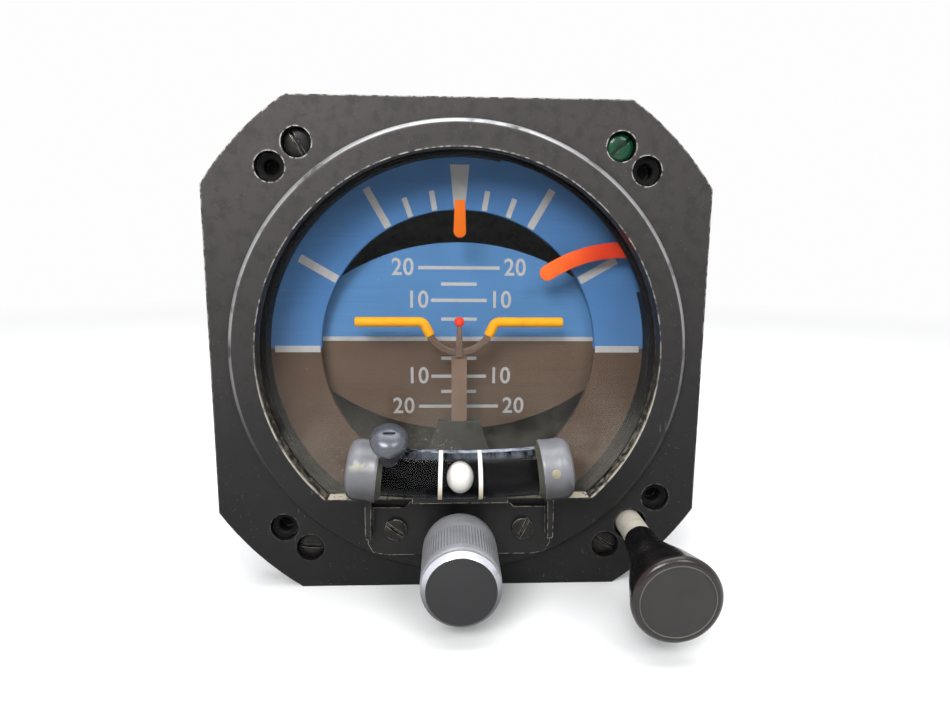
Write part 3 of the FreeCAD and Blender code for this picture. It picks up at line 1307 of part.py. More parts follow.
save(make_airplane_yoke(), "airplane_yoke")
save(make_airplane_dot(), "airplane_dot")
save(make_airplane_strip(), "airplane_strip")
save(make_airplane_guide(), "airplane_guide")
save(make_adjust_shaft(), "adjust_shaft")
save(make_adjust_knob(), "adjust_knob")
save(make_caging_knob(), "caging_knob")
save(make_caging_shaft(), "caging_shaft")
save(make_caging_spring(), "caging_spring")
save(make_caging_ring(), "caging_ring")
save(make_inclinometer_tube(), "inclinometer_tube")
save(make_inclinometer_ball(), "inclinometer_ball")
save(make_index_bands(), "index_bands")
save(make_end_caps(), "end_caps")
save(make_filler_plug(), "filler_plug")
save(make_inclinometer_bracket(), "inclinometer_bracket")
save(make_bracket_screws(), "bracket_screws")
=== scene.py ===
import bpy
import math
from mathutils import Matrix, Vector


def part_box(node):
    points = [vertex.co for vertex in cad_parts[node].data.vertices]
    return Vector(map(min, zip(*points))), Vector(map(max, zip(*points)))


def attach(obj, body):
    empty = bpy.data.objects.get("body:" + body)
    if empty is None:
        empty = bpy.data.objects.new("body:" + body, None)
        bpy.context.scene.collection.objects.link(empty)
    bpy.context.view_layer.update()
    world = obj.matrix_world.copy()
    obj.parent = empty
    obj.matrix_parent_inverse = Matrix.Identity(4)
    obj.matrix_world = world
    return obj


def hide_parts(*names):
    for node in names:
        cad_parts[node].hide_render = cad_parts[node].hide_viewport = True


# Panel attitude indicator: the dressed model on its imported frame. Sizes below are in millimetres.

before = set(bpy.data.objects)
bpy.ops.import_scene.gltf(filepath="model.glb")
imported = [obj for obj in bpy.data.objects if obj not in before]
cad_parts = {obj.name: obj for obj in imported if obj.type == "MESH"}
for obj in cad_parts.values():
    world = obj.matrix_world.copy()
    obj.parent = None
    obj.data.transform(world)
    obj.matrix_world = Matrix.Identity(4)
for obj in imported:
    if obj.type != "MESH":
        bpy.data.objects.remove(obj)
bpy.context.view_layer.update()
MM = 0.001

# flange and window: half width, corner circle, window circle and the level of its flat lower lip
HALF = 42.86
CORNER_R = 51.5
WINDOW_R = 34.7
CHORD_Z = -25.5
# mounting holes and bezel screws on the bolt circle; the fourth hole makes room for the caging shaft
BOLT_R = 44.45
MOUNT_ANGLES = (45, 135, 225, -36.3)
BEZEL_SCREWS = ((52.7, -40), (127.3, 60), (232.7, 5), (-52.7, 30))
CAGE_AT = (31.43, 0, -31.43)
CAGE_DROOP = 1.5
# the drooping knob sits back by this much, so that it stays inside the part's length
CAGE_BACK = 0.16
# adjusting knob: its height, and the knurled band
ADJUST_Z = -33.0
KNURL_TEETH = 76.0
KNURL_FRONT = -17.2
KNURL_BACK = -10.6
# bracket screws
BRACKET_SCREW_X = 11.2
BRACKET_SCREW_Z = -30.5
# pitch dial: curve, pivot, horizon line above the centre
DIAL_R = 85.2
DIAL_Y = 95.0
HORIZON = 1.6
# airplane symbol: depth and height of the wings
PLANE_Y = 5.0
WING_Z = 5.3
# slip ball: middle of the tube, radius of its bend, radius of the tube, caps and bands along it
TUBE = (0, -7.0, -19.2)
ARC = 135.0
ARC_CENTRE = (0, TUBE[1], TUBE[2] + ARC)
TUBE_R = 4.0
CAP_X = 16.45
BAND_X = 3.3
BALL_R = 2.25
BALL_Z = -19.55


# ---------------- modelling helpers
def free_hands():
    if bpy.context.mode != "OBJECT":
        bpy.ops.object.mode_set(mode="OBJECT")
    bpy.ops.object.select_all(action="DESELECT")


def edit_all():
    bpy.ops.object.mode_set(mode="EDIT")
    bpy.ops.mesh.select_all(action="SELECT")


def settle():
    # a new piece keeps its place in its mesh, and its own origin stays at the centre
    bpy.ops.object.transform_apply(location=True, rotation=True, scale=True)


def pick(obj):
    free_hands()
    obj.select_set(True)
    bpy.context.view_layer.objects.active = obj


def point(x, y, z):
    return Vector((x * MM, y * MM, z * MM))


def start_vertex(at):
    # a single loose vertex to draw from
    free_hands()
    bpy.ops.mesh.primitive_plane_add(size=MM)
    obj = bpy.context.object
    edit_all()
    bpy.ops.mesh.merge(type="CENTER")
    bpy.ops.transform.translate(value=at)
    return obj


def draw_chain(points):
    obj = start_vertex(points[0])
    for a, b in zip(points, points[1:]):
        bpy.ops.mesh.extrude_vertices_move(TRANSFORM_OT_translate={"value": b - a})
    bpy.ops.mesh.select_all(action="SELECT")
    return obj


def close_up(obj, name, weld=1e-7):
    bpy.ops.mesh.select_all(action="SELECT")
    bpy.ops.mesh.remove_doubles(threshold=weld)
    bpy.ops.mesh.normals_make_consistent(inside=False)
    bpy.ops.object.mode_set(mode="OBJECT")
    obj.name = name
    obj.data.name = name
    return obj


def turned(name, profile, centre, along="Y", steps=96):
    # a lathe part: profile holds (radius, distance along the axis) from the axis point
    c = point(*centre)
    pts = []
    for r, t in profile:
        if along == "Y":
            pts.append(c + point(r, t, 0))
        elif along == "X":
            pts.append(c + point(t, 0, r))
        else:
            pts.append(c + point(r, 0, t))
    axis = {"X": (1, 0, 0), "Y": (0, 1, 0), "Z": (0, 0, 1)}[along]
    obj = draw_chain(pts)
    bpy.ops.mesh.spin(steps=steps, angle=2 * math.pi, center=c, axis=axis)
    return close_up(obj, name)


def plate(name, outline, y0, y1):
    # a flat outline in X and Z, pulled out along Y
    obj = draw_chain([point(x, y0, z) for x, z in outline])
    bpy.ops.mesh.edge_face_add()
    bpy.ops.mesh.select_all(action="SELECT")
    bpy.ops.mesh.extrude_region_move(TRANSFORM_OT_translate={"value": (0, (y1 - y0) * MM, 0)})
    return close_up(obj, name)


def rod(name, r, a, b, sides=48):
    # a plain round cutter or pin between two points
    free_hands()
    start = point(*a)
    end = point(*b)
    way = end - start
    bpy.ops.mesh.primitive_cylinder_add(vertices=sides, radius=r * MM, depth=way.length,
                                        location=(start + end) / 2,
                                        rotation=way.to_track_quat("Z", "Y").to_euler())
    settle()
    obj = bpy.context.object
    obj.name = name
    return obj


def block(name, low, high):
    free_hands()
    lo = point(*low)
    hi = point(*high)
    bpy.ops.mesh.primitive_cube_add(size=1, location=(lo + hi) / 2, scale=hi - lo)
    settle()
    obj = bpy.context.object
    obj.name = name
    return obj


def carve(obj, cutter, how="DIFFERENCE"):
    pick(obj)
    mod = obj.modifiers.new("cut", "BOOLEAN")
    mod.operation = how
    mod.solver = "EXACT"
    mod.object = cutter
    bpy.ops.object.modifier_apply(modifier=mod.name)
    bpy.data.objects.remove(cutter, do_unlink=True)
    return obj


def round_edges(obj, width, segments=2, angle=35):
    pick(obj)
    mod = obj.modifiers.new("edge", "BEVEL")
    mod.width = width * MM
    mod.segments = segments
    mod.limit_method = "ANGLE"
    mod.angle_limit = math.radians(angle)
    mod.harden_normals = False
    mod.miter_outer = "MITER_ARC"
    bpy.ops.object.modifier_apply(modifier=mod.name)
    return obj


def even_shade(obj):
    # large flat faces keep their own shade beside small rounded edges
    pick(obj)
    mod = obj.modifiers.new("shade", "WEIGHTED_NORMAL")
    mod.keep_sharp = True
    mod.weight = 100
    bpy.ops.object.modifier_apply(modifier=mod.name)
    return obj


def smooth(obj, angle=35):
    pick(obj)
    bpy.ops.object.shade_smooth_by_angle(angle=math.radians(angle))
    return obj


def swing(obj, degrees, centre, axis="Y"):
    # turns a whole piece about a line through a point, right-handed about the axis
    pick(obj)
    edit_all()
    bpy.ops.transform.rotate(value=SPIN_SIGN * math.radians(degrees), orient_axis=axis,
                             orient_type="GLOBAL", center_override=point(*centre))
    bpy.ops.object.mode_set(mode="OBJECT")
    return obj


def slide(obj, x, y, z):
    for v in obj.data.vertices:
        v.co += point(x, y, z)
    return obj


def join(name, objs):
    free_hands()
    for o in objs:
        o.select_set(True)
    bpy.context.view_layer.objects.active = objs[0]
    bpy.ops.object.join()
    out = bpy.context.object
    out.name = name
    out.data.name = name
    return out


def ring_points(r, a0, a1, n, cx=0.0, cz=0.0):
    pts = []
    for k in range(n + 1):
        a = math.radians(a0 + (a1 - a0) * k / n)
        pts.append((cx + r * math.cos(a), cz + r * math.sin(a)))
    return pts


def dress(obj, material, body, replaces=()):
    obj.data.materials.clear()
    obj.data.materials.append(material)
    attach(obj, body)
    if replaces:
        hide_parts(*replaces)
    return obj


# the sign that a turn needs when there is no window, found with a short trial bar
free_hands()
bpy.ops.mesh.primitive_plane_add(size=MM, location=(0.01, 0, 0))
trial = bpy.context.object
settle()
edit_all()
bpy.ops.transform.rotate(value=math.pi / 2, orient_axis="Y", orient_type="GLOBAL", center_override=(0, 0, 0))
bpy.ops.object.mode_set(mode="OBJECT")
SPIN_SIGN = 1.0 if sum(v.co.z for v in trial.data.vertices) < 0 else -1.0
bpy.data.objects.remove(trial, do_unlink=True)


# ---------------- shared surface effects
def new_group(name, **inputs):
    # a mask from the surface's own coordinates and a few plain values
    tree = bpy.data.node_groups.new(name, "ShaderNodeTree")
    tree.interface.new_socket(name="Vector", in_out="INPUT", socket_type="NodeSocketVector")
    for label, value in inputs.items():
        s = tree.interface.new_socket(name=label, in_out="INPUT", socket_type="NodeSocketFloat")
        s.default_value = value
    tree.interface.new_socket(name="Mask", in_out="OUTPUT", socket_type="NodeSocketFloat")
    ins = tree.nodes.new("NodeGroupInput").outputs
    return tree, ins, tree.nodes.new("NodeGroupOutput").inputs["Mask"]


def add(tree, kind):
    return tree.nodes.new("ShaderNode" + kind)


def feed(tree, value, socket):
    # a plain value is set on the socket itself, a pattern is linked to it
    if isinstance(value, (int, float, tuple)):
        socket.default_value = value
    else:
        tree.links.new(value, socket)


def math_node(tree, op, a, b=None):
    n = add(tree, "Math")
    n.operation = op
    feed(tree, a, n.inputs[0])
    if b is not None:
        feed(tree, b, n.inputs[1])
    return n.outputs[0]


def times(tree, a, b):
    return math_node(tree, "MULTIPLY", a, b)


def noise(tree, vector, scale, detail=4.0, rough=0.55):
    n = add(tree, "TexNoise")
    n.inputs["Detail"].default_value = detail
    n.inputs["Roughness"].default_value = rough
    n.inputs["Scale"].default_value = scale
    tree.links.new(vector, n.inputs["Vector"])
    return n.outputs["Fac"]


def step_mask(tree, value, low, high, at_low=0.0, at_high=1.0):
    # a soft step: at_low up to low, at_high from high on
    n = add(tree, "MapRange")
    n.interpolation_type = "SMOOTHSTEP"
    tree.links.new(value, n.inputs["Value"])
    for label, v in (("From Min", low), ("From Max", high), ("To Min", at_low), ("To Max", at_high)):
        feed(tree, v, n.inputs[label])
    return n.outputs["Result"]


def mix_shader(tree, factor, first, second):
    n = add(tree, "MixShader")
    tree.links.new(factor, n.inputs[0])
    tree.links.new(first, n.inputs[1])
    tree.links.new(second, n.inputs[2])
    return n.outputs[0]


def either_ray(tree, *kinds):
    # one where the ray is of any of these kinds
    path = add(tree, "LightPath")
    mask = path.outputs[kinds[0]]
    for kind in kinds[1:]:
        mask = math_node(tree, "MAXIMUM", mask, path.outputs[kind])
    return mask


def bare_material(name):
    mat = bpy.data.materials.new(name)
    mat.use_nodes = True
    tree = mat.node_tree
    tree.nodes.clear()
    return mat, tree, add(tree, "OutputMaterial").inputs[0]


def build_edge_wear():
    # bare, rubbed edges: the rounded normal leaves the true one near an edge, broken up by noise
    tree, ins, mask = new_group("rubbed_edges", Width=0.0004, Break=0.45)
    bevel = add(tree, "Bevel")
    bevel.samples = 6
    tree.links.new(ins["Width"], bevel.inputs["Radius"])
    geo = add(tree, "NewGeometry")
    dot = add(tree, "VectorMath")
    dot.operation = "DOT_PRODUCT"
    tree.links.new(bevel.outputs["Normal"], dot.inputs[0])
    tree.links.new(geo.outputs["Normal"], dot.inputs[1])
    edge = math_node(tree, "SUBTRACT", 1.0, dot.outputs["Value"])
    edge = step_mask(tree, edge, 0.004, 0.06)
    rough = noise(tree, ins["Vector"], 900.0, 6.0, 0.65)
    chips = step_mask(tree, rough, ins["Break"], math_node(tree, "ADD", ins["Break"], 0.10))
    tree.links.new(times(tree, edge, chips), mask)
    return tree


def build_dust():
    # scattered pale specks with a loose haze between them
    tree, ins, mask = new_group("dust_specks", Scale=900.0, Amount=0.2)
    v = add(tree, "TexVoronoi")
    v.feature = "F1"
    tree.links.new(ins["Vector"], v.inputs["Vector"])
    tree.links.new(ins["Scale"], v.inputs["Scale"])
    near = step_mask(tree, v.outputs["Distance"], 0.24, 0.06)
    sep = add(tree, "SeparateColor")
    tree.links.new(v.outputs["Color"], sep.inputs[0])
    few = math_node(tree, "LESS_THAN", sep.outputs[0], ins["Amount"])
    patch = step_mask(tree, noise(tree, ins["Vector"], 90.0, 3.0), 0.42, 0.62)
    tree.links.new(times(tree, times(tree, near, few), patch), mask)
    return tree


def build_scratches():
    # fine straight scratches that lie in one direction
    tree, ins, mask = new_group("fine_scratches", Amount=0.1)
    total = None
    for turn, stretch in ((0.5, 18.0), (2.2, 26.0), (1.3, 22.0)):
        m = add(tree, "Mapping")
        m.inputs["Rotation"].default_value = (0.0, turn, turn * 0.5)
        m.inputs["Scale"].default_value = (stretch * 60, stretch * 60, 260)
        tree.links.new(ins["Vector"], m.inputs["Vector"])
        f = noise(tree, m.outputs["Vector"], 1.0, 2.0, 0.5)
        s = step_mask(tree, f, 0.72, 0.78)
        total = s if total is None else math_node(tree, "MAXIMUM", total, s)
    zone = step_mask(tree, noise(tree, ins["Vector"], 60.0, 2.0), 0.45, 0.62)
    tree.links.new(times(tree, times(tree, total, zone), ins["Amount"]), mask)
    return tree


EDGES = build_edge_wear()
DUST = build_dust()
SCRATCHES = build_scratches()


class Finish:
    # one material: the plain surface first, then layers that change it
    def __init__(self, name, color, roughness, metallic=0.0, specular=0.5, coat=0.0):
        self.mat, self.tree, surface = bare_material(name)
        self.bsdf = add(self.tree, "BsdfPrincipled")
        self.tree.links.new(self.bsdf.outputs[0], surface)
        self.bsdf.inputs["Specular IOR Level"].default_value = specular
        self.bsdf.inputs["Coat Weight"].default_value = coat
        coords = add(self.tree, "TexCoord")
        self.vector = coords.outputs["Object"]
        self.color = (*color, 1)
        self.rough = roughness
        self.metal = metallic
        self.height = None

    def math(self, op, a, b=None):
        return math_node(self.tree, op, a, b)

    def both(self, a, b):
        return times(self.tree, a, b)

    def step(self, value, low, high):
        return step_mask(self.tree, value, low, high)

    def noise(self, scale, detail=4.0, rough=0.55):
        return noise(self.tree, self.vector, scale, detail, rough)

    def use(self, group, **values):
        n = add(self.tree, "Group")
        n.node_tree = group
        self.tree.links.new(self.vector, n.inputs["Vector"])
        for k, v in values.items():
            n.inputs[k].default_value = v
        return n.outputs[0]

    def stretched(self, scale):
        m = add(self.tree, "Mapping")
        m.inputs["Scale"].default_value = scale
        self.tree.links.new(self.vector, m.inputs["Vector"])
        return m.outputs["Vector"]

    def mix_color(self, mask, color, strength=1.0):
        n = add(self.tree, "Mix")
        n.data_type = "RGBA"
        fac = mask if strength == 1.0 else self.both(mask, strength)
        self.tree.links.new(fac, n.inputs["Factor"])
        feed(self.tree, self.color, n.inputs[6])
        n.inputs[7].default_value = (*color, 1)
        self.color = n.outputs[2]

    def mix_value(self, which, mask, value):
        n = add(self.tree, "Mix")
        n.data_type = "FLOAT"
        self.tree.links.new(mask, n.inputs["Factor"])
        feed(self.tree, getattr(self, which), n.inputs[2])
        n.inputs[3].default_value = value
        setattr(self, which, n.outputs[0])

    def layer(self, mask, color, rough=None, metal=None, strength=1.0):
        self.mix_color(mask, color, strength)
        if rough is not None:
            self.mix_value("rough", mask, rough)
        if metal is not None:
            self.mix_value("metal", mask, metal)

    def mottle(self, scale, color, low=0.4, high=0.7, strength=1.0, rough=None):
        self.layer(self.step(self.noise(scale, 5.0, 0.6), low, high), color, rough, None, strength)

    def bump(self, value, distance):
        n = add(self.tree, "Bump")
        n.inputs["Distance"].default_value = distance * MM
        n.inputs["Strength"].default_value = 1.0
        self.tree.links.new(value, n.inputs["Height"])
        if self.height is not None:
            self.tree.links.new(self.height, n.inputs["Normal"])
        self.height = n.outputs["Normal"]

    def grain(self, scale, distance, detail=3.0):
        self.bump(self.noise(scale, detail), distance)

    def axis(self, name):
        s = add(self.tree, "SeparateXYZ")
        self.tree.links.new(self.vector, s.inputs[0])
        return s.outputs[name]

    def done(self):
        feed(self.tree, self.color, self.bsdf.inputs["Base Color"])
        feed(self.tree, self.rough, self.bsdf.inputs["Roughness"])
        feed(self.tree, self.metal, self.bsdf.inputs["Metallic"])
        if self.height is not None:
            self.tree.links.new(self.height, self.bsdf.inputs["Normal"])
        return self.mat


# ---------------- finishes
def radius_from_axis(f):
    # distance from the instrument's centre line
    x = f.axis("X")
    z = f.axis("Z")
    return f.math("SQRT", f.math("ADD", f.both(x, x), f.both(z, z)))


def make_bezel_paint():
    f = Finish("bezel_paint", (0.0085, 0.0085, 0.009), 0.46, 0.0, 0.18)
    z = f.axis("Z")
    y = f.axis("Y")
    r = radius_from_axis(f)
    # painted light: the paint grows lighter towards the top, and lighter still at the upper left
    fade = f.step(z, -0.034, 0.062)
    f.mix_color(fade, (0.064, 0.0575, 0.056))
    lit = f.step(f.axis("X"), 0.010, -0.050)
    f.mix_color(f.both(fade, lit), (0.086, 0.078, 0.075), 0.5)
    f.mottle(60.0, (0.030, 0.028, 0.027), 0.40, 0.80, 0.30, 0.52)
    f.mottle(420.0, (0.012, 0.012, 0.012), 0.45, 0.65, 0.30)
    f.layer(f.use(SCRATCHES, Amount=0.45), (0.16, 0.15, 0.14), 0.5)
    f.layer(f.use(DUST, Scale=2300.0, Amount=0.16), (0.22, 0.21, 0.19), 0.8, None, 0.55)
    # a painted highlight lies on the turned outer corner of the ring all round its upper half, broken up by
    # noise
    band = f.both(f.step(r, 0.03850, 0.03872), f.math("LESS_THAN", y, -0.00112))
    band = f.both(band, f.math("LESS_THAN", r, 0.03945))
    band = f.both(band, f.step(z, -0.024, 0.020))
    rub_and_highlight_noise = f.step(f.noise(200.0, 5.0), 0.26, 0.52)
    f.layer(f.both(band, rub_and_highlight_noise), (0.46, 0.46, 0.47), 0.30, 0.45, 0.85)
    # bare metal shows as wear along the outer edges, and keeping most of it high up is a painted highlight
    wear = f.use(EDGES, Width=0.00045, Break=0.44)
    f.layer(f.both(wear, f.step(z, -0.050, 0.040)), (0.50, 0.48, 0.45), 0.38, 0.5)
    # the rim of the window opening is rubbed pale low down, with grey dirt on the wall behind it
    above_chord = f.math("GREATER_THAN", z, -0.02548)
    inner = f.both(f.both(f.step(r, 0.03530, 0.03500), f.step(z, 0.004, -0.014)), above_chord)
    wall = f.both(inner, f.math("GREATER_THAN", y, -0.00188))
    crust = f.step(f.noise(900.0, 6.0), 0.44, 0.62)
    f.layer(f.both(wall, crust), (0.26, 0.235, 0.18), 0.85, None, 0.75)
    rim = f.both(f.both(f.step(r, 0.03492, 0.03482), f.step(z, 0.002, -0.012)), above_chord)
    rim = f.both(rim, f.math("LESS_THAN", y, -0.00150))
    rub_and_highlight_noise = f.step(f.noise(500.0, 4.0), 0.30, 0.50)
    f.layer(f.both(rim, rub_and_highlight_noise), (0.55, 0.51, 0.42), 0.6, 0.0, 0.9)
    # painted shade: the walls inside the holes are painted near black
    far = f.math("MAXIMUM", f.math("ABSOLUTE", f.axis("X")), f.math("ABSOLUTE", z))
    painted_hole_shade = f.both(f.math("GREATER_THAN", y, 0.0002), f.math("LESS_THAN", far, 0.0421))
    painted_hole_shade = f.both(painted_hole_shade, f.math("LESS_THAN", r, 0.0505))
    painted_hole_shade = f.both(painted_hole_shade, f.math("GREATER_THAN", r, 0.0402))
    f.layer(f.both(painted_hole_shade, f.math("LESS_THAN", y, 0.0031)), (0.0035, 0.0035, 0.0035), 0.7, 0.0)
    f.grain(2600.0, 0.016)
    return f.done()


def make_lip_grime():
    # grey-cream residue that has dried along the window's lower lip
    f = Finish("lip_residue", (0.62, 0.58, 0.48), 0.75, 0.0, 0.2)
    f.mottle(160.0, (0.52, 0.42, 0.26), 0.45, 0.7, 0.7)
    f.mottle(900.0, (0.10, 0.085, 0.07), 0.56, 0.64, 0.9)
    f.mottle(2400.0, (0.07, 0.06, 0.05), 0.60, 0.66, 0.8)
    f.grain(1500.0, 0.05)
    return f.done()


def grey(level):
    return (level, level, level)


def make_case_paint():
    f = Finish("case_crinkle", (0.020, 0.020, 0.021), 0.55, 0.0, 0.25)
    f.mottle(70.0, (0.05, 0.048, 0.046), 0.4, 0.75, 0.7)
    f.layer(f.use(SCRATCHES, Amount=0.4), grey(0.14), 0.5)
    f.layer(f.use(EDGES, Width=0.0004, Break=0.5), grey(0.40), 0.4, 0.8)
    f.grain(1700.0, 0.06, 4.0)
    return f.done()


def make_plain(name, color, rough, metal=0.0, spot=None, scale=300.0, grain=0.01, wear=None, spec=0.2,
               coat=0.0):
    # one colour with darker patches, a fine grain and, where asked for, worn edges
    f = Finish(name, color, rough, metal, spec, coat)
    darker = tuple(0.6 * c for c in color) if spot is None else spot
    f.mottle(scale, darker, 0.42, 0.72, 0.6, min(1.0, rough + 0.12))
    if wear:
        f.layer(f.use(EDGES, Width=0.0002, Break=0.42), wear, 0.35, 0.8)
    f.grain(scale * 6, grain)
    return f.done()


def make_dusty(name, color, spot):
    # matt black behind the window, with settled pale dust low down
    f = Finish(name, color, 0.6, 0.0, 0.12)
    f.mottle(180.0, spot, 0.4, 0.75, 0.7)
    low = f.step(f.axis("Z"), 0.002, -0.014)
    fine = f.both(f.use(DUST, Scale=3000.0, Amount=0.5), low)
    f.layer(fine, (0.30, 0.27, 0.21), 0.9, None, 0.6)
    f.grain(2000.0, 0.01)
    return f.done()


def two_tone(name, level, sky, ground):
    # sky above the level, ground below it
    f = Finish(name, sky, 0.6, 0.0, 0.12)
    z = f.axis("Z")
    low = f.math("LESS_THAN", z, level * MM)
    brushed = f.step(noise(f.tree, f.stretched((60, 60, 2600)), 1.0, 3.0), 0.35, 0.70)
    f.mix_color(brushed, tuple(0.86 * c for c in sky), 0.8)
    f.mottle(110.0, tuple(0.84 * c for c in sky), 0.38, 0.72, 0.6)
    f.mix_color(low, ground)
    f.mix_color(f.both(low, brushed), tuple(0.78 * c for c in ground), 0.9)
    shade = f.step(f.noise(90.0, 3.0), 0.35, 0.75)
    f.mix_color(f.both(low, shade), tuple(0.82 * c for c in ground), 0.8)
    f.grain(3000.0, 0.006)
    return f.done()


def make_cap_paint():
    # silver-grey lacquer over the spun caps, with painted shade that darkens them underneath
    f = Finish("cap_grey", (0.225, 0.228, 0.248), 0.36, 0.15, 0.35)
    z = f.axis("Z")
    f.mottle(140.0, (0.14, 0.14, 0.15), 0.42, 0.72, 0.5)
    # painted shade: the lower side turns dark grey, then near black and no longer metallic
    f.mix_color(f.step(z, -0.0155, -0.0205), (0.110, 0.110, 0.118))
    f.mix_color(f.step(z, -0.0192, -0.0225), (0.012, 0.012, 0.012))
    f.mix_value("metal", f.step(z, -0.0180, -0.0215), 0.0)
    smear = f.both(f.step(f.noise(260.0, 3.0), 0.52, 0.60), f.step(z, -0.0172, -0.0155))
    smear = f.both(smear, f.math("LESS_THAN", f.axis("X"), -0.0125))
    f.layer(smear, (0.48, 0.47, 0.34), 0.7, 0.0, 0.7)
    f.layer(f.use(EDGES, Width=0.0002, Break=0.40), (0.50, 0.48, 0.43), 0.35, 0.4, 0.7)
    f.grain(700.0, 0.02)
    return f.done()


def make_band_paint():
    # white index bands, yellowed towards their lower ends
    f = Finish("band_white", (0.83, 0.82, 0.78), 0.5)
    f.mix_color(f.step(f.axis("Z"), -0.0185, -0.0232), (0.70, 0.60, 0.34))
    f.mottle(900.0, (0.42, 0.37, 0.25), 0.58, 0.68, 0.6)
    f.grain(1500.0, 0.02)
    return f.done()


def make_glass(name, tint, ior, fade):
    # clear to light on its way to what lies behind, with a low gleam of its own
    mat, t, surface = bare_material(name)
    g = add(t, "BsdfPrincipled")
    for label, value in (("Base Color", (*tint, 1)), ("Roughness", 0.0), ("Transmission Weight", 1.0),
                         ("IOR", ior), ("Specular IOR Level", 0.12)):
        g.inputs[label].default_value = value
    clear = add(t, "BsdfTransparent")
    clear.inputs[0].default_value = (fade, fade, fade, 1)
    lit_through = either_ray(t, "Is Shadow Ray", "Is Diffuse Ray")
    t.links.new(mix_shader(t, lit_through, g.outputs[0], clear.outputs[0]), surface)
    return mat


def make_knurled():
    # grey anodised knob with a fine straight knurl on its band and a dark flat face
    f = Finish("knob_anodised", (0.300, 0.302, 0.325), 0.44, 0.10, 0.3)
    y = f.axis("Y")
    z = f.math("SUBTRACT", f.axis("Z"), ADJUST_Z * MM)
    f.mottle(260.0, (0.20, 0.20, 0.215), 0.4, 0.7, 0.5)
    # painted shade darkens the paint below, and the flat face is dark paint
    f.mix_color(f.step(z, 0.0015, -0.0040), (0.050, 0.050, 0.054))
    # painted highlight: the upper part of the front chamfer is light and glossy
    edge = f.both(f.math("GREATER_THAN", y, -20.48 * MM), f.math("LESS_THAN", y, -19.60 * MM))
    f.layer(f.both(edge, f.step(z, -0.0005, 0.0040)), (0.62, 0.62, 0.68), 0.22, 0.45)
    f.layer(f.math("LESS_THAN", y, -20.42 * MM), (0.020, 0.020, 0.021), 0.55, 0.0)
    teeth = f.math("SINE", f.both(f.math("ARCTAN2", f.axis("X"), z), KNURL_TEETH))
    band = f.both(f.math("GREATER_THAN", y, KNURL_FRONT * MM), f.math("LESS_THAN", y, KNURL_BACK * MM))
    # painted shade darkens the grooves of the knurl
    f.layer(f.both(band, f.step(teeth, 0.1, -0.9)), (0.17, 0.165, 0.18), 0.5, 0.1, 0.55)
    f.bump(f.both(teeth, band), 0.07)
    return f.done()


def make_backing_paint():
    # deep black behind the liquid, with a speckled bluish painted reflection along the top
    f = Finish("backing_black", (0.0015, 0.0015, 0.0018), 0.9, 0.0, 0.0)
    x = f.axis("X")
    # height above the bent centre line of the tube
    sag = f.both(f.both(x, x), 1 / (2 * ARC * MM))
    high = f.math("SUBTRACT", f.math("SUBTRACT", f.axis("Z"), TUBE[2] * MM), sag)
    # painted reflection: a band along the top of the tube is lighter and bluish, speckled with pale dots
    veil = f.step(high, 0.0002, 0.0008)
    patch = f.step(f.noise(500.0, 4.0, 0.6), 0.30, 0.66)
    f.layer(f.both(veil, patch), (0.42, 0.46, 0.55), 0.9)
    f.layer(f.both(veil, f.use(DUST, Scale=2600.0, Amount=0.3)), (0.55, 0.56, 0.58), 0.9)
    return f.done()


def make_window_dust():
    # a clear film that carries the fine dust lying on the window, thickest low down
    f = Finish("window_dust", (0.50, 0.47, 0.40), 0.9, 0.0, 0.0)
    z = f.axis("Z")
    low = f.step(z, 0.004, -0.022)
    fine = f.both(f.use(DUST, Scale=3300.0, Amount=0.60), low)
    coarse = f.both(f.use(DUST, Scale=2100.0, Amount=0.22), low)
    spare = f.both(f.use(DUST, Scale=1500.0, Amount=0.05), 0.5)
    haze = f.both(f.both(f.step(z, 0.0, -0.030), 0.20), f.step(f.noise(120.0, 5.0), 0.2, 0.8))
    total = f.math("MAXIMUM", f.math("MAXIMUM", fine, coarse), f.math("MAXIMUM", spare, haze))
    f.tree.links.new(total, f.bsdf.inputs["Alpha"])
    return f.done()


def make_flag_paint():
    f = Finish("flag_paint", (0.74, 0.042, 0.010), 0.5, 0.0, 0.1)
    # painted shade: the vane stays darker red towards its right end, and is lighter orange further left
    f.layer(f.step(f.axis("X"), 26.0 * MM, 15.0 * MM), (1.0, 0.165, 0.022), 0.5)
    f.mottle(350.0, (0.74, 0.055, 0.012), 0.45, 0.7, 0.5)
    f.grain(2500.0, 0.006)
    return f.done()


bezel_paint = make_bezel_paint()
lip_residue = make_lip_grime()
case_paint = make_case_paint()
mask_black = make_dusty("mask_black", (0.006, 0.0065, 0.008), (0.016, 0.013, 0.011))
guide_black = make_dusty("guide_black", (0.026, 0.028, 0.026), (0.040, 0.042, 0.038))
nut_black = make_plain("nut_black", grey(0.0035), 0.6, spot=(0.010, 0.009, 0.008), scale=900.0, spec=0.1,
                       wear=(0.10, 0.095, 0.085))
bracket_black = make_plain("bracket_black", (0.010, 0.0098, 0.0095), 0.4, spot=(0.022, 0.020, 0.018),
                           scale=200.0, grain=0.02, wear=(0.40, 0.375, 0.31))
screw_dark = make_plain("screw_dark", (0.008, 0.0075, 0.007), 0.4, 0.1, spot=(0.026, 0.023, 0.020),
                        scale=700.0, wear=(0.22, 0.20, 0.17))
screw_pale = make_plain("screw_worn", (0.012, 0.011, 0.010), 0.4, 0.1, spot=(0.030, 0.027, 0.022),
                        scale=700.0, wear=(0.34, 0.31, 0.26))
screw_green = make_plain("screw_lacquered", (0.003, 0.064, 0.024), 0.22, spot=(0.003, 0.008, 0.005),
                         scale=480.0, coat=0.3)
steel = make_plain("plain_steel", grey(0.42), 0.35, 0.9, scale=500.0)
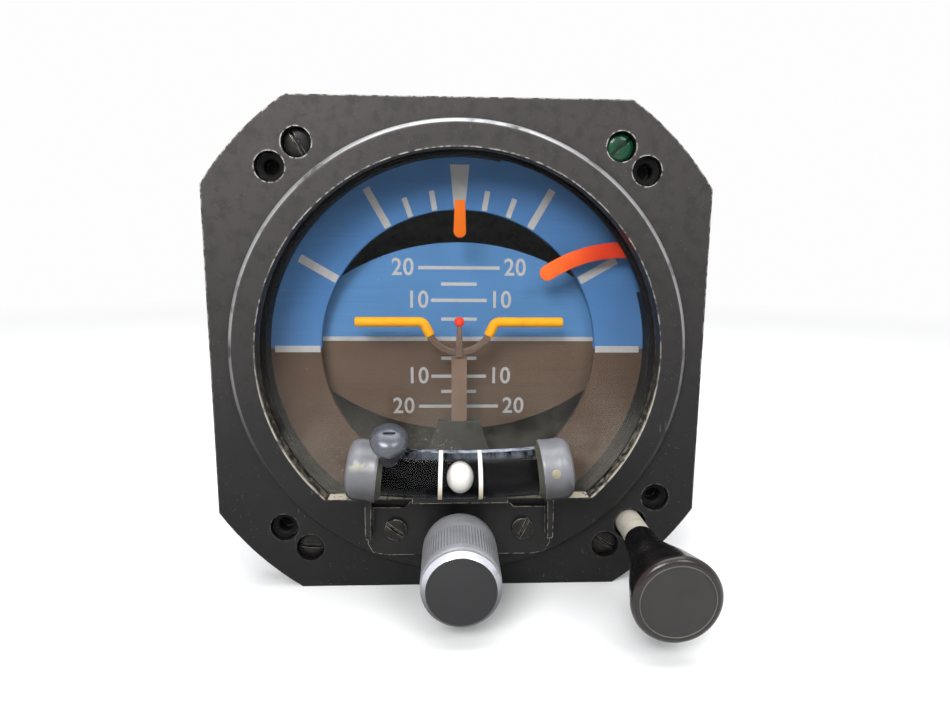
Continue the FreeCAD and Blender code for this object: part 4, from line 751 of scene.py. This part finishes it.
shaft_silver = make_plain("shaft_silver", (0.66, 0.62, 0.53), 0.45, 0.25, spot=(0.42, 0.36, 0.27),
                          scale=420.0)
cast = make_plain("cast_metal", grey(0.36), 0.5, 0.6, scale=400.0, grain=0.03)
brass = make_plain("turned_brass", (0.52, 0.38, 0.16), 0.35, 0.9, scale=400.0)
copper = make_plain("coil_copper", (0.42, 0.16, 0.06), 0.4, 0.6, scale=800.0)
rubber = make_plain("gasket_rubber", grey(0.02), 0.8, scale=600.0)
insert_black = make_plain("insert_plastic", grey(0.03), 0.5, scale=600.0)
connector_metal = make_plain("connector_olive", (0.20, 0.21, 0.15), 0.42, 0.5, wear=(0.5, 0.5, 0.48))
index_orange = make_plain("index_orange", (0.74, 0.145, 0.004), 0.5, spot=(0.60, 0.105, 0.004),
                          scale=500.0, spec=0.08)
wing_yellow = make_plain("wing_yellow", (0.95, 0.420, 0.008), 0.45, spot=(0.86, 0.300, 0.006),
                         scale=500.0, spec=0.12)
yoke_brown = make_plain("yoke_brown", (0.120, 0.074, 0.050), 0.42, spot=(0.17, 0.115, 0.085), scale=400.0)
strip_brown = make_plain("strip_brown", (0.185, 0.115, 0.078), 0.42, spot=(0.145, 0.088, 0.060), scale=400.0)
dot_red = make_plain("dot_red", (0.95, 0.055, 0.020), 0.35, spot=(0.80, 0.03, 0.01), scale=700.0, spec=0.12)
mark_white = make_plain("mark_white", (0.46, 0.455, 0.45), 0.55, spot=(0.38, 0.37, 0.36), scale=800.0,
                        spec=0.1)
ring_two_tone = two_tone("bank_two_tone", 0.1, (0.070, 0.195, 0.43), (0.105, 0.063, 0.040))
dial_two_tone = two_tone("dial_two_tone", 1.6, (0.084, 0.222, 0.45), (0.130, 0.082, 0.054))
plug_metal = make_plain("plug_metal", (0.105, 0.110, 0.130), 0.26, 0.45, spot=(0.05, 0.052, 0.06), spec=0.5)
sealant = make_plain("sealant_olive", (0.075, 0.074, 0.060), 0.5, spot=(0.035, 0.034, 0.028), grain=0.04)
cream_speck = make_plain("cream_speck", (0.34, 0.31, 0.23), 0.6, spot=(0.30, 0.25, 0.17), scale=600.0)
ball_white = make_plain("ball_white", (0.90, 0.87, 0.80), 0.3, spot=(0.86, 0.82, 0.74), coat=0.3)
band_white = make_band_paint()
knob_black = make_plain("knob_black", (0.0045, 0.004, 0.0045), 0.22, spot=(0.007, 0.006, 0.007), scale=150.0,
                        grain=0.0006, spec=0.35)
knob_rim = make_plain("knob_rim", (0.012, 0.006, 0.006), 0.22, spot=(0.007, 0.005, 0.005), scale=200.0,
                      grain=0.002, spec=0.45)
knob_disc = make_plain("knob_disc", (0.040, 0.038, 0.035), 0.4, spot=(0.032, 0.031, 0.028), scale=200.0)
knob_line = make_plain("knob_line", (0.17, 0.16, 0.14), 0.5, spot=(0.13, 0.12, 0.10), scale=500.0)
cap_grey = make_cap_paint()
window_glass = make_glass("window_glass", (0.97, 0.98, 0.985), 1.16, 0.96)
tube_glass = make_glass("tube_glass", (0.96, 0.97, 0.98), 1.18, 0.94)
backing_black = make_backing_paint()
window_dust = make_window_dust()
flag_paint = make_flag_paint()
knob_anodised = make_knurled()


# ---------------- bezel with flange, pilot ring and window lip
def bolt_point(angle):
    a = math.radians(angle)
    return BOLT_R * math.cos(a), BOLT_R * math.sin(a)


def window_cutter(r, chord, y0, y1):
    a = math.degrees(math.asin(chord / r))
    return plate("window_cutter", ring_points(r, a, 180 - a, 120), y0, y1)


def make_bezel():
    corner = math.degrees(math.acos(HALF / CORNER_R))
    outline = []
    for start in (0, 90, 180, 270):
        outline += ring_points(CORNER_R, start + corner, start + 90 - corner, 8)
    body = plate("bezel_body", outline, 0, 3.2)
    ring = turned("bezel_ring", [
        (0, 1.0), (39.35, 1.0), (39.35, -1.15), (39.22, -1.36), (38.75, -1.86), (38.5, -1.98), (38.3, -2.0),
        (0, -2.0),
    ], (0, 0, 0), "Y", 160)
    carve(body, ring, "UNION")
    carve(body, window_cutter(WINDOW_R, CHORD_Z, -4, 5))
    carve(body, window_cutter(WINDOW_R + 1.3, CHORD_Z - 1.3, 0.9, 5))
    holes = [(2.5, *bolt_point(a), 5) for a in MOUNT_ANGLES]
    for a, _ in BEZEL_SCREWS:
        holes += [(2.5, *bolt_point(a), 2.2), (1.55, *bolt_point(a), 5)]
    holes += [(3.0, CAGE_AT[0], CAGE_AT[2], 5), (1.55, 0, ADJUST_Z, 5)]
    for r, x, z, back in holes:
        carve(body, rod("hole", r, (x, -3, z), (x, back, z)))
    round_edges(body, 0.12, 2, 40)
    return even_shade(smooth(body, 40))


bezel = make_bezel()
bezel.name = "bezel_shell"
dress(bezel, bezel_paint, "case", ["bezel"])

lip = plate("lip_residue_strip", [(x, CHORD_Z + rise) for x, rise in (
    (-23.2, 0.04), (-12, 0.10), (0, 0.06), (12, 0.11), (23.2, 0.04), (23.4, -0.12), (-23.4, -0.12),
)], -1.92, 0.88)
dress(smooth(lip), lip_residue, "case")


# captive nuts stand in the four mounting holes, closed behind
def captive_nut(angle):
    x, z = bolt_point(angle)
    return turned("nut", [
        (0, 3.9), (1.2, 3.9), (1.32, 3.8), (1.32, 1.5), (1.5, 1.25), (1.75, 1.15), (2.3, 1.15), (2.44, 1.3),
        (2.44, 5.4), (2.1, 5.9), (1.5, 6.1), (0, 6.1),
    ], (x, 0, z), "Y", 48)


nuts = join("mount_captive_nuts", [captive_nut(a) for a in MOUNT_ANGLES])
dress(smooth(nuts), nut_black, "case")

glass_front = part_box("window_glass")[0][1] / MM
veil = window_cutter(WINDOW_R - 0.2, CHORD_Z + 0.2, glass_front - 0.05, glass_front - 0.03)
veil.name = "window_dust_film"
dress(veil, window_dust, "case")


# ---------------- slotted screws
def screw_head(name, r, h, centre, slot_angle, slot_w, slot_d, crown=0.0):
    x, y, z = centre
    head = turned(name, [
        (0, y - crown), (0.55 * r, y - 0.75 * crown), (r - 0.3, y + 0.02), (r - 0.08, y + 0.12),
        (r, y + 0.32), (r, y + h), (0, y + h),
    ], (x, 0, z), "Y", 64)
    slot = block("slot", (x - 2 * r, y - 2, z - slot_w / 2), (x + 2 * r, y + slot_d, z + slot_w / 2))
    swing(slot, slot_angle, (x, 0, z))
    carve(head, slot)
    round_edges(head, 0.06, 2, 50)
    return smooth(head, 40)


bezel_heads = []
for a, turn in BEZEL_SCREWS:
    x, z = bolt_point(a)
    bezel_heads.append(screw_head("bezel_screw_head", 2.3, 1.2, (x, 1.0, z), turn, 0.6, 0.6, 0.25))
green_head = bezel_heads.pop(0)
dark_heads = join("bezel_screw_heads", bezel_heads)
dress(dark_heads, screw_dark, "case", ["bezel_screws"])
dress(green_head, screw_green, "case")
green_head.name = "bezel_screw_lacquered"

bracket_heads = join("bracket_screw_heads", [
    screw_head("bracket_head", 2.0, 0.9, (x, -3.75, BRACKET_SCREW_Z), turn, 0.55, 0.6, 0.15)
    for x, turn in ((-BRACKET_SCREW_X, 36), (BRACKET_SCREW_X, -64))])
dress(bracket_heads, screw_pale, "case", ["bracket_screws"])


# ---------------- bank ring and its marks
def bank_bar(angle, r0, r1, w0, w1):
    # a painted bar across the ring at an angle from the top, clockwise
    a = math.radians(90 - angle)
    c = math.cos(a)
    s = math.sin(a)
    pts = [(r * c - w * s, r * s + w * c) for r, w in (
        (r0, -w0 / 2), (r0, w0 / 2), (r1, w1 / 2), (r1, -w1 / 2))]
    return plate("bar", pts, 7.44, 7.52)


ring = turned("bank_ring_plate", [
    (25.2, 7.65), (25.28, 7.53), (25.4, 7.5), (35.7, 7.5), (36.0, 7.8), (36.0, 8.7), (25.2, 8.7),
    (25.2, 7.65),
], (0, 0, 0), "Y", 192)
dress(smooth(ring), ring_two_tone, "roll", ["bank_ring"])

bars = [bank_bar(0, 25.4, 33.0, 2.0, 3.45)]
for side in (-1, 1):
    for angle, r1, w in (
            (10, 28.9, 0.95), (20, 28.9, 0.95), (30, 33.2, 1.3), (60, 33.0, 1.5), (90, 33.6, 1.2)):
        bars.append(bank_bar(angle * side, 25.4, r1, w, w))
bank_marks = join("bank_marks", bars)
dress(bank_marks, mark_white, "roll")


# ---------------- pitch dial, a shallow curved plate
def wrap_on_dial(obj, lift=0.0):
    # bends a flat piece at Y = 0 onto the dial's curved front
    for v in obj.data.vertices:
        z = v.co.z / MM
        v.co.y += (DIAL_Y - math.sqrt(DIAL_R ** 2 - z ** 2) - lift) * MM
    return obj


def make_dial():
    # two arcs, above and below the horizon, and straight sides
    edge_r, half_high, half_wide = 40.4, 17.9, 29.8
    drop = edge_r - half_high
    side = math.degrees(math.acos(half_wide / edge_r))
    outline = ring_points(edge_r, side, 180 - side, 60, 0, HORIZON - drop)
    outline += ring_points(edge_r, 180 + side, 360 - side, 60, 0, HORIZON + drop)
    dial = plate("pitch_dial_plate", outline, 0, 0.5)
    # level cuts let the plate follow its curve
    pick(dial)
    bpy.ops.object.mode_set(mode="EDIT")
    for k in range(-16, 20):
        bpy.ops.mesh.select_all(action="SELECT")
        bpy.ops.mesh.bisect(plane_co=point(0, 0, k), plane_no=(0, 0, 1))
    bpy.ops.object.mode_set(mode="OBJECT")
    wrap_on_dial(dial)
    return smooth(dial, 30)


dress(make_dial(), dial_two_tone, "dial", ["pitch_dial"])


def dial_bar(half, z, thick):
    low = z - thick / 2
    high = z + thick / 2
    return wrap_on_dial(plate("bar", [(-half, low), (half, low), (half, high), (-half, high)], -0.05, 0.02))


dial_bars = [dial_bar(29.0, HORIZON, 0.8)]
for dz, half in ((3.7, 3.32), (7.2, 5.2), (10.2, 3.32), (13.2, 7.6)):
    for side in (-1, 1):
        dial_bars.append(dial_bar(half, HORIZON + side * dz, 0.62))


def numeral(word, x, z, height):
    free_hands()
    bpy.ops.object.text_add()
    t = bpy.context.object
    t.data.body = word
    t.data.align_x = "CENTER"
    t.data.align_y = "CENTER"
    t.data.size = height * MM / 0.70
    t.data.offset = 0.00006
    t.data.space_character = 1.06
    t.data.extrude = 0.03 * MM
    bpy.ops.object.convert(target="MESH")
    t.scale = (0.92, 1, 1)
    t.rotation_euler = (math.pi / 2, 0, 0)
    t.location = point(x, 0, z)
    settle()
    return wrap_on_dial(t, 0.02)


for side in (-1, 1):
    for word, x, dz in (("20", 10.5, 13.2), ("10", 7.75, 7.2)):
        dial_bars.append(numeral(word, side * x, HORIZON + dz, 3.1))
        dial_bars.append(numeral(word, side * x, HORIZON - dz, 3.1))
dial_marks = join("dial_marks", dial_bars)
dress(dial_marks, mark_white, "dial")


# ---------------- fixed index, airplane, flag
index_outline = [(-0.9, 26.6), (0.9, 26.6)] + ring_points(1.1, 0, -180, 16, 0, 21.3)
index = plate("bank_index_bar", index_outline, 3.22, 3.9)
round_edges(index, 0.15, 2)
dress(smooth(index), index_orange, "case", ["bank_index"])


def wire(name, points, r, bend, steps=10):
    # a round wire: a filled circle is pulled along each run and spun round each bend
    p = [Vector(q) for q in points]
    way = (p[1] - p[0]).normalized()
    free_hands()
    bpy.ops.mesh.primitive_circle_add(vertices=24, radius=r * MM, fill_type="NGON", location=p[0] * MM,
                                      rotation=way.to_track_quat("Z", "Y").to_euler())
    obj = bpy.context.object
    settle()
    edit_all()
    at = p[0]
    for k in range(1, len(p)):
        way = (p[k] - at).normalized()
        if k == len(p) - 1:
            bpy.ops.mesh.extrude_region_move(TRANSFORM_OT_translate={"value": (p[k] - at) * MM})
            break
        nxt = (p[k + 1] - p[k]).normalized()
        turn = way.angle(nxt)
        back = bend * math.tan(turn / 2)
        stop = p[k] - way * back
        bpy.ops.mesh.extrude_region_move(TRANSFORM_OT_translate={"value": (stop - at) * MM})
        normal = way.cross(nxt).normalized()
        centre = stop + normal.cross(way) * bend
        bpy.ops.mesh.spin(steps=steps, angle=-turn, center=centre * MM, axis=normal)
        at = p[k] + nxt * back
    return close_up(obj, name)


wings = join("airplane_wing_wires", [
    wire("wing", [(side * x, PLANE_Y, z) for x, z in ((18.7, WING_Z), (6.5, WING_Z), (5.2, 2.75))], 0.9, 1.3)
    for side in (-1, 1)])
round_edges(wings, 0.3, 3, 60)
dress(smooth(wings), wing_yellow, "airplane", ["airplane_wings"])


def make_yoke():
    # an arc through the inner ends of the wings, and a tapered post up to the dot
    half, rise, bottom, w = 5.25, 2.9, -0.2, 0.65
    r = (half ** 2 + rise ** 2) / (2 * rise)
    zc = bottom + r
    reach = math.degrees(math.asin(half / r))
    outline = ring_points(r + w, -90 - reach, -90 + reach, 32, 0, zc)
    outline += ring_points(r - w, -90 + reach, -90 - reach, 32, 0, zc)
    arc = plate("yoke_arc", outline, 4.4, 5.6)
    round_edges(arc, 0.25, 3)
    post = plate("yoke_post", [(-0.78, -1.1), (0.78, -1.1), (0.42, 4.6), (-0.42, 4.6)], 4.2, 5.2)
    round_edges(post, 0.2, 3)
    return join("airplane_yoke_arc", [arc, post])


dress(smooth(make_yoke()), yoke_brown, "airplane", ["airplane_yoke"])
dot = turned("airplane_dot_cap", [
    (0, -0.95), (0.35, -0.9), (0.65, -0.72), (0.86, -0.42), (0.9, 0), (0.9, 0.6), (0, 0.6),
], (0, PLANE_Y, WING_Z), "Y", 40)
dress(smooth(dot), dot_red, "airplane", ["airplane_dot"])


def make_flag():
    # a curved vane of half width w with a round tip, and a square tail behind the mask
    cx, cz, r = 29.33, -6.23, 24.53
    a0 = math.degrees(math.atan2(14.15 - cz, 15.7 - cx))
    a1 = 87.5
    w = 1.38
    tip_x = cx + r * math.cos(math.radians(a0))
    tip_z = cz + r * math.sin(math.radians(a0))
    outer = ring_points(r + w, a0, a1, 40, cx, cz)
    inner = ring_points(r - w, a1, a0, 40, cx, cz)
    tip = ring_points(w, a0 + 180, a0, 12, tip_x, tip_z)
    tail = [(33.0, 22.5), (35.2, 22.4), (34.2, 20.2)]
    flag = plate("flag_vane", outer + tail + inner + tip[1:-1], 4.75, 5.25)
    round_edges(flag, 0.1, 2, 50)
    return smooth(flag)


dress(make_flag(), flag_paint, "flag", ["power_flag"])


# ---------------- slip ball: liquid-filled tube, ball, bands, caps
def arc_angle(x):
    return math.degrees(math.asin(x / ARC))


def bent_bar(name, r, x0, x1, steps=40, sides=64):
    # a round bar along the tube's bend from x0 to x1
    free_hands()
    bpy.ops.mesh.primitive_circle_add(vertices=sides, radius=r * MM, fill_type="NGON", location=point(*TUBE),
                                      rotation=(0, math.pi / 2, 0))
    obj = bpy.context.object
    settle()
    swing(obj, -arc_angle(x0), ARC_CENTRE)
    edit_all()
    bpy.ops.mesh.spin(steps=steps, angle=math.radians(arc_angle(x1) - arc_angle(x0)),
                      center=point(*ARC_CENTRE), axis=(0, 1, 0))
    return close_up(obj, name)


def along(obj, x):
    return swing(obj, -arc_angle(x), ARC_CENTRE)


tube = bent_bar("slip_tube_filled", TUBE_R, -17.9, 17.9)
dress(smooth(tube), tube_glass, "case", ["inclinometer_tube"])

half_turn = [math.radians(a) for a in range(0, 181, 6)]
ball = turned("slip_ball", [(BALL_R * math.sin(a), -BALL_R * math.cos(a)) for a in half_turn],
              (0, TUBE[1], BALL_Z), "Y", 48)
dress(smooth(ball), ball_white, "ball", ["inclinometer_ball"])


def make_backing():
    # the painted rear half of the tube
    backing = bent_bar("tube_backing", TUBE_R + 0.09, -13.6, 13.6)
    carve(backing, bent_bar("hollow", TUBE_R + 0.02, -15, 15))
    carve(backing, block("front", (-30, -20, -40), (30, TUBE[1] - 0.6, 0)))
    return smooth(backing)


dress(make_backing(), backing_black, "case")


def make_band(x):
    low, high, half = TUBE_R + 0.03, TUBE_R + 0.12, 0.34
    band = turned("band", [(low, -half), (high, -half), (high, half), (low, half), (low, -half)],
                  TUBE, "X", 72)
    carve(band, block("back", (-5, TUBE[1] + 0.8, -40), (5, 5, 0)))
    return along(band, x)


bands = join("slip_bands", [make_band(-BAND_X), make_band(BAND_X)])
dress(smooth(bands), band_white, "case", ["index_bands"])


def place_cap(side):
    # a spun cup with a rolled collar where the tube goes in
    cap = turned("cap", [(r, side * t) for r, t in (
        (4.05, -2.9), (4.7, -2.95), (5.1, -2.85), (5.22, -2.6), (5.2, -2.3), (5.12, -1.9), (5.08, -1.2),
        (5.12, 0.0), (5.16, 0.25), (5.1, 0.5), (5.08, 0.8), (4.95, 1.3), (4.65, 1.75), (4.15, 2.1),
        (3.4, 2.32), (2.4, 2.42), (0, 2.45), (0, 1.9), (4.05, 1.9), (4.05, -2.9),
    )], TUBE, "X", 80)
    return along(cap, side * CAP_X)


caps = join("slip_end_caps", [place_cap(-1), place_cap(1)])
dress(smooth(caps, 50), cap_grey, "case", ["end_caps"])


def make_fillet(side):
    # the collar of sealant where the tube enters a cap
    collar = turned("fillet", [(r, side * t) for r, t in (
        (4.02, -0.2), (4.2, 0.0), (4.6, 0.45), (5.0, 0.95), (4.5, 1.1), (4.02, 1.1), (4.02, -0.2),
    )], TUBE, "X", 64)
    return along(collar, side * 13.0)


fillets = join("slip_sealant", [make_fillet(-1), make_fillet(1)])
dress(smooth(fillets, 50), sealant, "case")

speck = turned("cap_speck", [(0, -0.18), (0.55, -0.14), (0.82, -0.02), (0.9, 0.12), (0, 0.12)],
               (15.5, -11.98, -17.6), "Y", 32)
dress(smooth(speck), cream_speck, "case")


def make_plug():
    # a mushroom-shaped plug with a slot, leaning forward off the tube
    plug = turned("plug", [
        (0, 2.5), (1.75, 2.5), (1.75, 4.0), (1.85, 4.8), (2.15, 5.7), (2.55, 6.6), (2.9, 7.4), (3.07, 8.0),
        (3.1, 8.5), (3.0, 9.0), (2.65, 9.5), (1.95, 9.9), (1.0, 10.15), (0, 10.2),
    ], TUBE, "Z", 64)
    slot = block("slot", (-0.95, TUBE[1] - 0.2, TUBE[2] + 9.6), (0.95, TUBE[1] + 0.2, -5))
    carve(plug, swing(slot, 8, TUBE, "Z"))
    round_edges(plug, 0.08, 2, 50)
    swing(plug, 34, TUBE, "X")
    along(plug, -12.0)
    carve(plug, bent_bar("cutter", TUBE_R + 0.05, -18, 18))
    return smooth(plug, 45)


dress(make_plug(), plug_metal, "case", ["filler_plug"])


# ---------------- slip ball bracket
def make_bracket():
    # the right half of the plate's outline, from the bottom up, between the two ends of its mirror image
    right = [(13.2, -35.5), (15.3, -35.0), (16.2, -33.4), (16.0, -31.0), (15.15, -26.6), (9.6, -26.6),
             (8.1, -25.0), (8.1, -22.2)]
    left = [(-x, z) for x, z in reversed(right)]
    body = plate("bracket", left[-3:] + right + left[:-3], -2.9, -2.02)
    carve(body, block("shelf", (-8.1, -7.2, -24.2), (8.1, -2.2, -19.4)), "UNION")
    for side in (-1, 1):
        # side straps rise from the plate to the end caps
        strap = plate("strap", [(side * x, z) for x, z in (
            (15.2, -22.4), (16.2, -22.4), (16.3, -26.0), (16.3, -31.2), (16.1, -31.5), (15.3, -31.5),
            (15.2, -26.0),
        )], -5.4, -2.1)
        carve(body, strap, "UNION")
    carve(body, bent_bar("cutter", TUBE_R + 0.12, -18.5, 18.5))
    for side in (-1, 1):
        cutter = rod("cap_cutter", 5.32, (-3.2, TUBE[1], TUBE[2]), (3.2, TUBE[1], TUBE[2]))
        carve(body, along(cutter, side * CAP_X))
    carve(body, rod("hole", 2.1, (0, -8, ADJUST_Z), (0, 0, ADJUST_Z)))
    round_edges(body, 0.12, 2, 45)
    return even_shade(smooth(body, 40))


bracket = make_bracket()
bracket.name = "slip_bracket"
dress(bracket, bracket_black, "case", ["inclinometer_bracket"])


# ---------------- adjusting knob
knob = turned("adjust_knob_turned", [
    (0, -20.5), (5.38, -20.5), (5.48, -20.45), (6.22, -19.66), (6.3, -19.45), (6.3, -19.15), (6.1, -19.02),
    (6.1, -18.62), (6.3, -18.5), (6.38, -18.35), (6.4, -17.9), (6.4, -7.4), (6.36, -6.2), (6.2, -5.3),
    (5.9, -4.7), (5.4, -4.32), (4.8, -4.2), (0, -4.2),
], (0, 0, ADJUST_Z), "Y", 160)
dress(smooth(knob, 30), knob_anodised, "adjuster", ["adjust_knob"])


# ---------------- caging knob
def caging_piece(name, profile, steps):
    # turned about the caging shaft, then drooped about its hole
    piece = turned(name, profile, CAGE_AT, "Y", steps)
    return slide(swing(piece, CAGE_DROOP, CAGE_AT, "X"), 0, CAGE_BACK, 0)


cage = turned("caging_knob_turned", [
    (2.42, -6.5), (2.62, -6.5), (2.7, -6.62), (2.78, -7.2), (2.88, -9.0), (3.08, -11.0), (3.5, -13.0),
    (4.1, -15.1), (4.8, -17.2), (5.45, -19.2), (6.0, -21.2), (6.45, -23.0), (6.72, -24.2), (6.86, -24.7),
    (6.9, -25.1), (6.84, -25.4), (6.6, -25.75), (6.2, -25.98), (5.95, -26.0), (5.8, -25.93), (5.76, -25.78),
    (0, -25.78),
], CAGE_AT, "Y", 128)
cage.data.materials.clear()
cage.data.materials.append(knob_black)
cage.data.materials.append(knob_rim)
for poly in cage.data.polygons:
    if poly.center.y < -24.9 * MM:
        poly.material_index = 1
slide(swing(cage, CAGE_DROOP, CAGE_AT, "X"), 0, CAGE_BACK, 0)
smooth(cage, 40)
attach(cage, "caging")
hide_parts("caging_knob")

disc = caging_piece("caging_knob_disc", [
    (0, -25.92), (5.45, -25.92), (5.55, -25.9), (5.62, -25.8), (5.62, -25.7), (0, -25.7),
], 96)
dress(smooth(disc), knob_disc, "caging")
line = caging_piece("caging_knob_line", [
    (5.63, -25.95), (5.68, -25.98), (5.76, -25.95), (5.76, -25.8), (5.63, -25.8), (5.63, -25.95),
], 96)
dress(smooth(line), knob_line, "caging")


# ---------------- finishes of the pieces that keep their frame shape
KEPT = (
    (case_paint, "case rear_cover"),
    (window_glass, "window_glass"),
    (rubber, "window_gasket"),
    (mask_black, "mask_ring"),
    (guide_black, "airplane_guide"),
    (strip_brown, "airplane_strip"),
    (shaft_silver, "caging_shaft"),
    (connector_metal, "connector_shell"),
    (insert_black, "connector_insert"),
    (copper, "flag_coil"),
    (brass, "gimbal_bushings dial_drive_arm balance_weight"),
    (cast, "rear_plate roll_frame gyro_housing gyro_cap dial_arms caging_ring"),
    (steel, "roll_bearings rear_screws connector_screws roll_nut dial_pivots gyro_stator gyro_rotor"
            " rotor_shaft rotor_bearings pitch_trunnions flag_pivot adjust_shaft caging_spring"),
)
for material, names in KEPT:
    for node in names.split():
        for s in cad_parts[node].material_slots:
            s.material = material


# ---------------- floor, light, camera
def make_floor():
    # a pale sheet that lies under the part and sweeps up behind it
    obj = draw_chain([Vector((-3.0, y, z)) for y, z in (
        (-3.0, -0.0429), (1.2, -0.0429), (1.5, -0.02), (1.75, 0.06), (1.9, 0.2), (1.96, 0.4), (1.98, 2.4))])
    bpy.ops.mesh.extrude_region_move(TRANSFORM_OT_translate={"value": (6.0, 0, 0)})
    floor = smooth(close_up(obj, "floor"), 60)
    mat, t, surface = bare_material("floor_pale")
    seen = either_ray(t, "Is Camera Ray", "Is Glossy Ray", "Is Transmission Ray")
    # pale where it is seen, darker where it throws light back at the part
    bounce = add(t, "Mix")
    bounce.data_type = "RGBA"
    bounce.inputs[6].default_value = (0.30, 0.30, 0.30, 1)
    bounce.inputs[7].default_value = (0.86, 0.86, 0.86, 1)
    t.links.new(seen, bounce.inputs["Factor"])
    sheet = add(t, "BsdfPrincipled")
    sheet.inputs["Roughness"].default_value = 0.9
    sheet.inputs["Specular IOR Level"].default_value = 0.1
    t.links.new(bounce.outputs[2], sheet.inputs["Base Color"])
    # far from the part it fades to plain white
    glow = add(t, "Emission")
    glow.inputs[0].default_value = WHITE
    coords = add(t, "TexCoord")
    apart = add(t, "VectorMath")
    apart.operation = "LENGTH"
    t.links.new(coords.outputs["Object"], apart.inputs[0])
    far = times(t, seen, step_mask(t, apart.outputs["Value"], 0.20, 0.75))
    t.links.new(mix_shader(t, far, sheet.outputs[0], glow.outputs[0]), surface)
    floor.data.materials.append(mat)


def make_room():
    world = bpy.data.worlds.new("studio")
    bpy.context.scene.world = world
    world.use_nodes = True
    t = world.node_tree
    t.nodes.clear()
    out = add(t, "OutputWorld")
    way = add(t, "TexCoord")
    up = add(t, "SeparateXYZ")
    t.links.new(way.outputs["Generated"], up.inputs[0])
    # the room lights the part less from where the viewer stands, more from behind and overhead
    around = step_mask(t, up.outputs["Y"], -0.5, 0.7, 0.55, 0.96)
    level = step_mask(t, up.outputs["Z"], 0.10, 0.75, around, 0.96)
    soft = add(t, "Background")
    soft.inputs[0].default_value = (0.95, 0.97, 1.0, 1)
    t.links.new(times(t, level, 0.62), soft.inputs[1])
    # seen directly, in a reflection or through glass, it is plain white
    plain = add(t, "Background")
    plain.inputs[0].default_value = WHITE
    seen = either_ray(t, "Is Camera Ray", "Is Glossy Ray", "Is Transmission Ray")
    t.links.new(mix_shader(t, seen, soft.outputs[0], plain.outputs[0]), out.inputs[0])


WHITE = (0.985, 0.985, 0.985, 1)
make_floor()
make_room()


def lamp(name, at, aim, size, power):
    free_hands()
    bpy.ops.object.light_add(type="AREA", location=at)
    o = bpy.context.object
    o.name = name
    o.data.shape = "RECTANGLE"
    o.data.size = size[0]
    o.data.size_y = size[1]
    o.data.energy = power
    o.rotation_euler = (Vector(aim) - Vector(at)).to_track_quat("-Z", "Y").to_euler()
    return o


lamp("key", (-0.22, -0.56, 0.42), (0, 0, 0.02), (0.34, 0.26), 4.6)
lamp("fill", (0.30, -0.46, 0.42), (0, 0, 0.02), (0.26, 0.22), 1.3)
lamp("top", (0.0, 0.08, 0.70), (0, 0, 0), (0.8, 0.6), 4.8)

cam_data = bpy.data.cameras.new("camera")
cam = bpy.data.objects.new("camera", cam_data)
bpy.context.scene.collection.objects.link(cam)
cam.location = (-0.0021, -0.1111, 0.0183)
cam.rotation_euler = (math.radians(80.558), math.radians(-0.427), math.radians(-2.382))
cam_data.sensor_width = 36
cam_data.lens = 24.5
cam_data.clip_start = 0.001
bpy.context.scene.camera = cam
bpy.context.scene.view_settings.view_transform = "Standard"
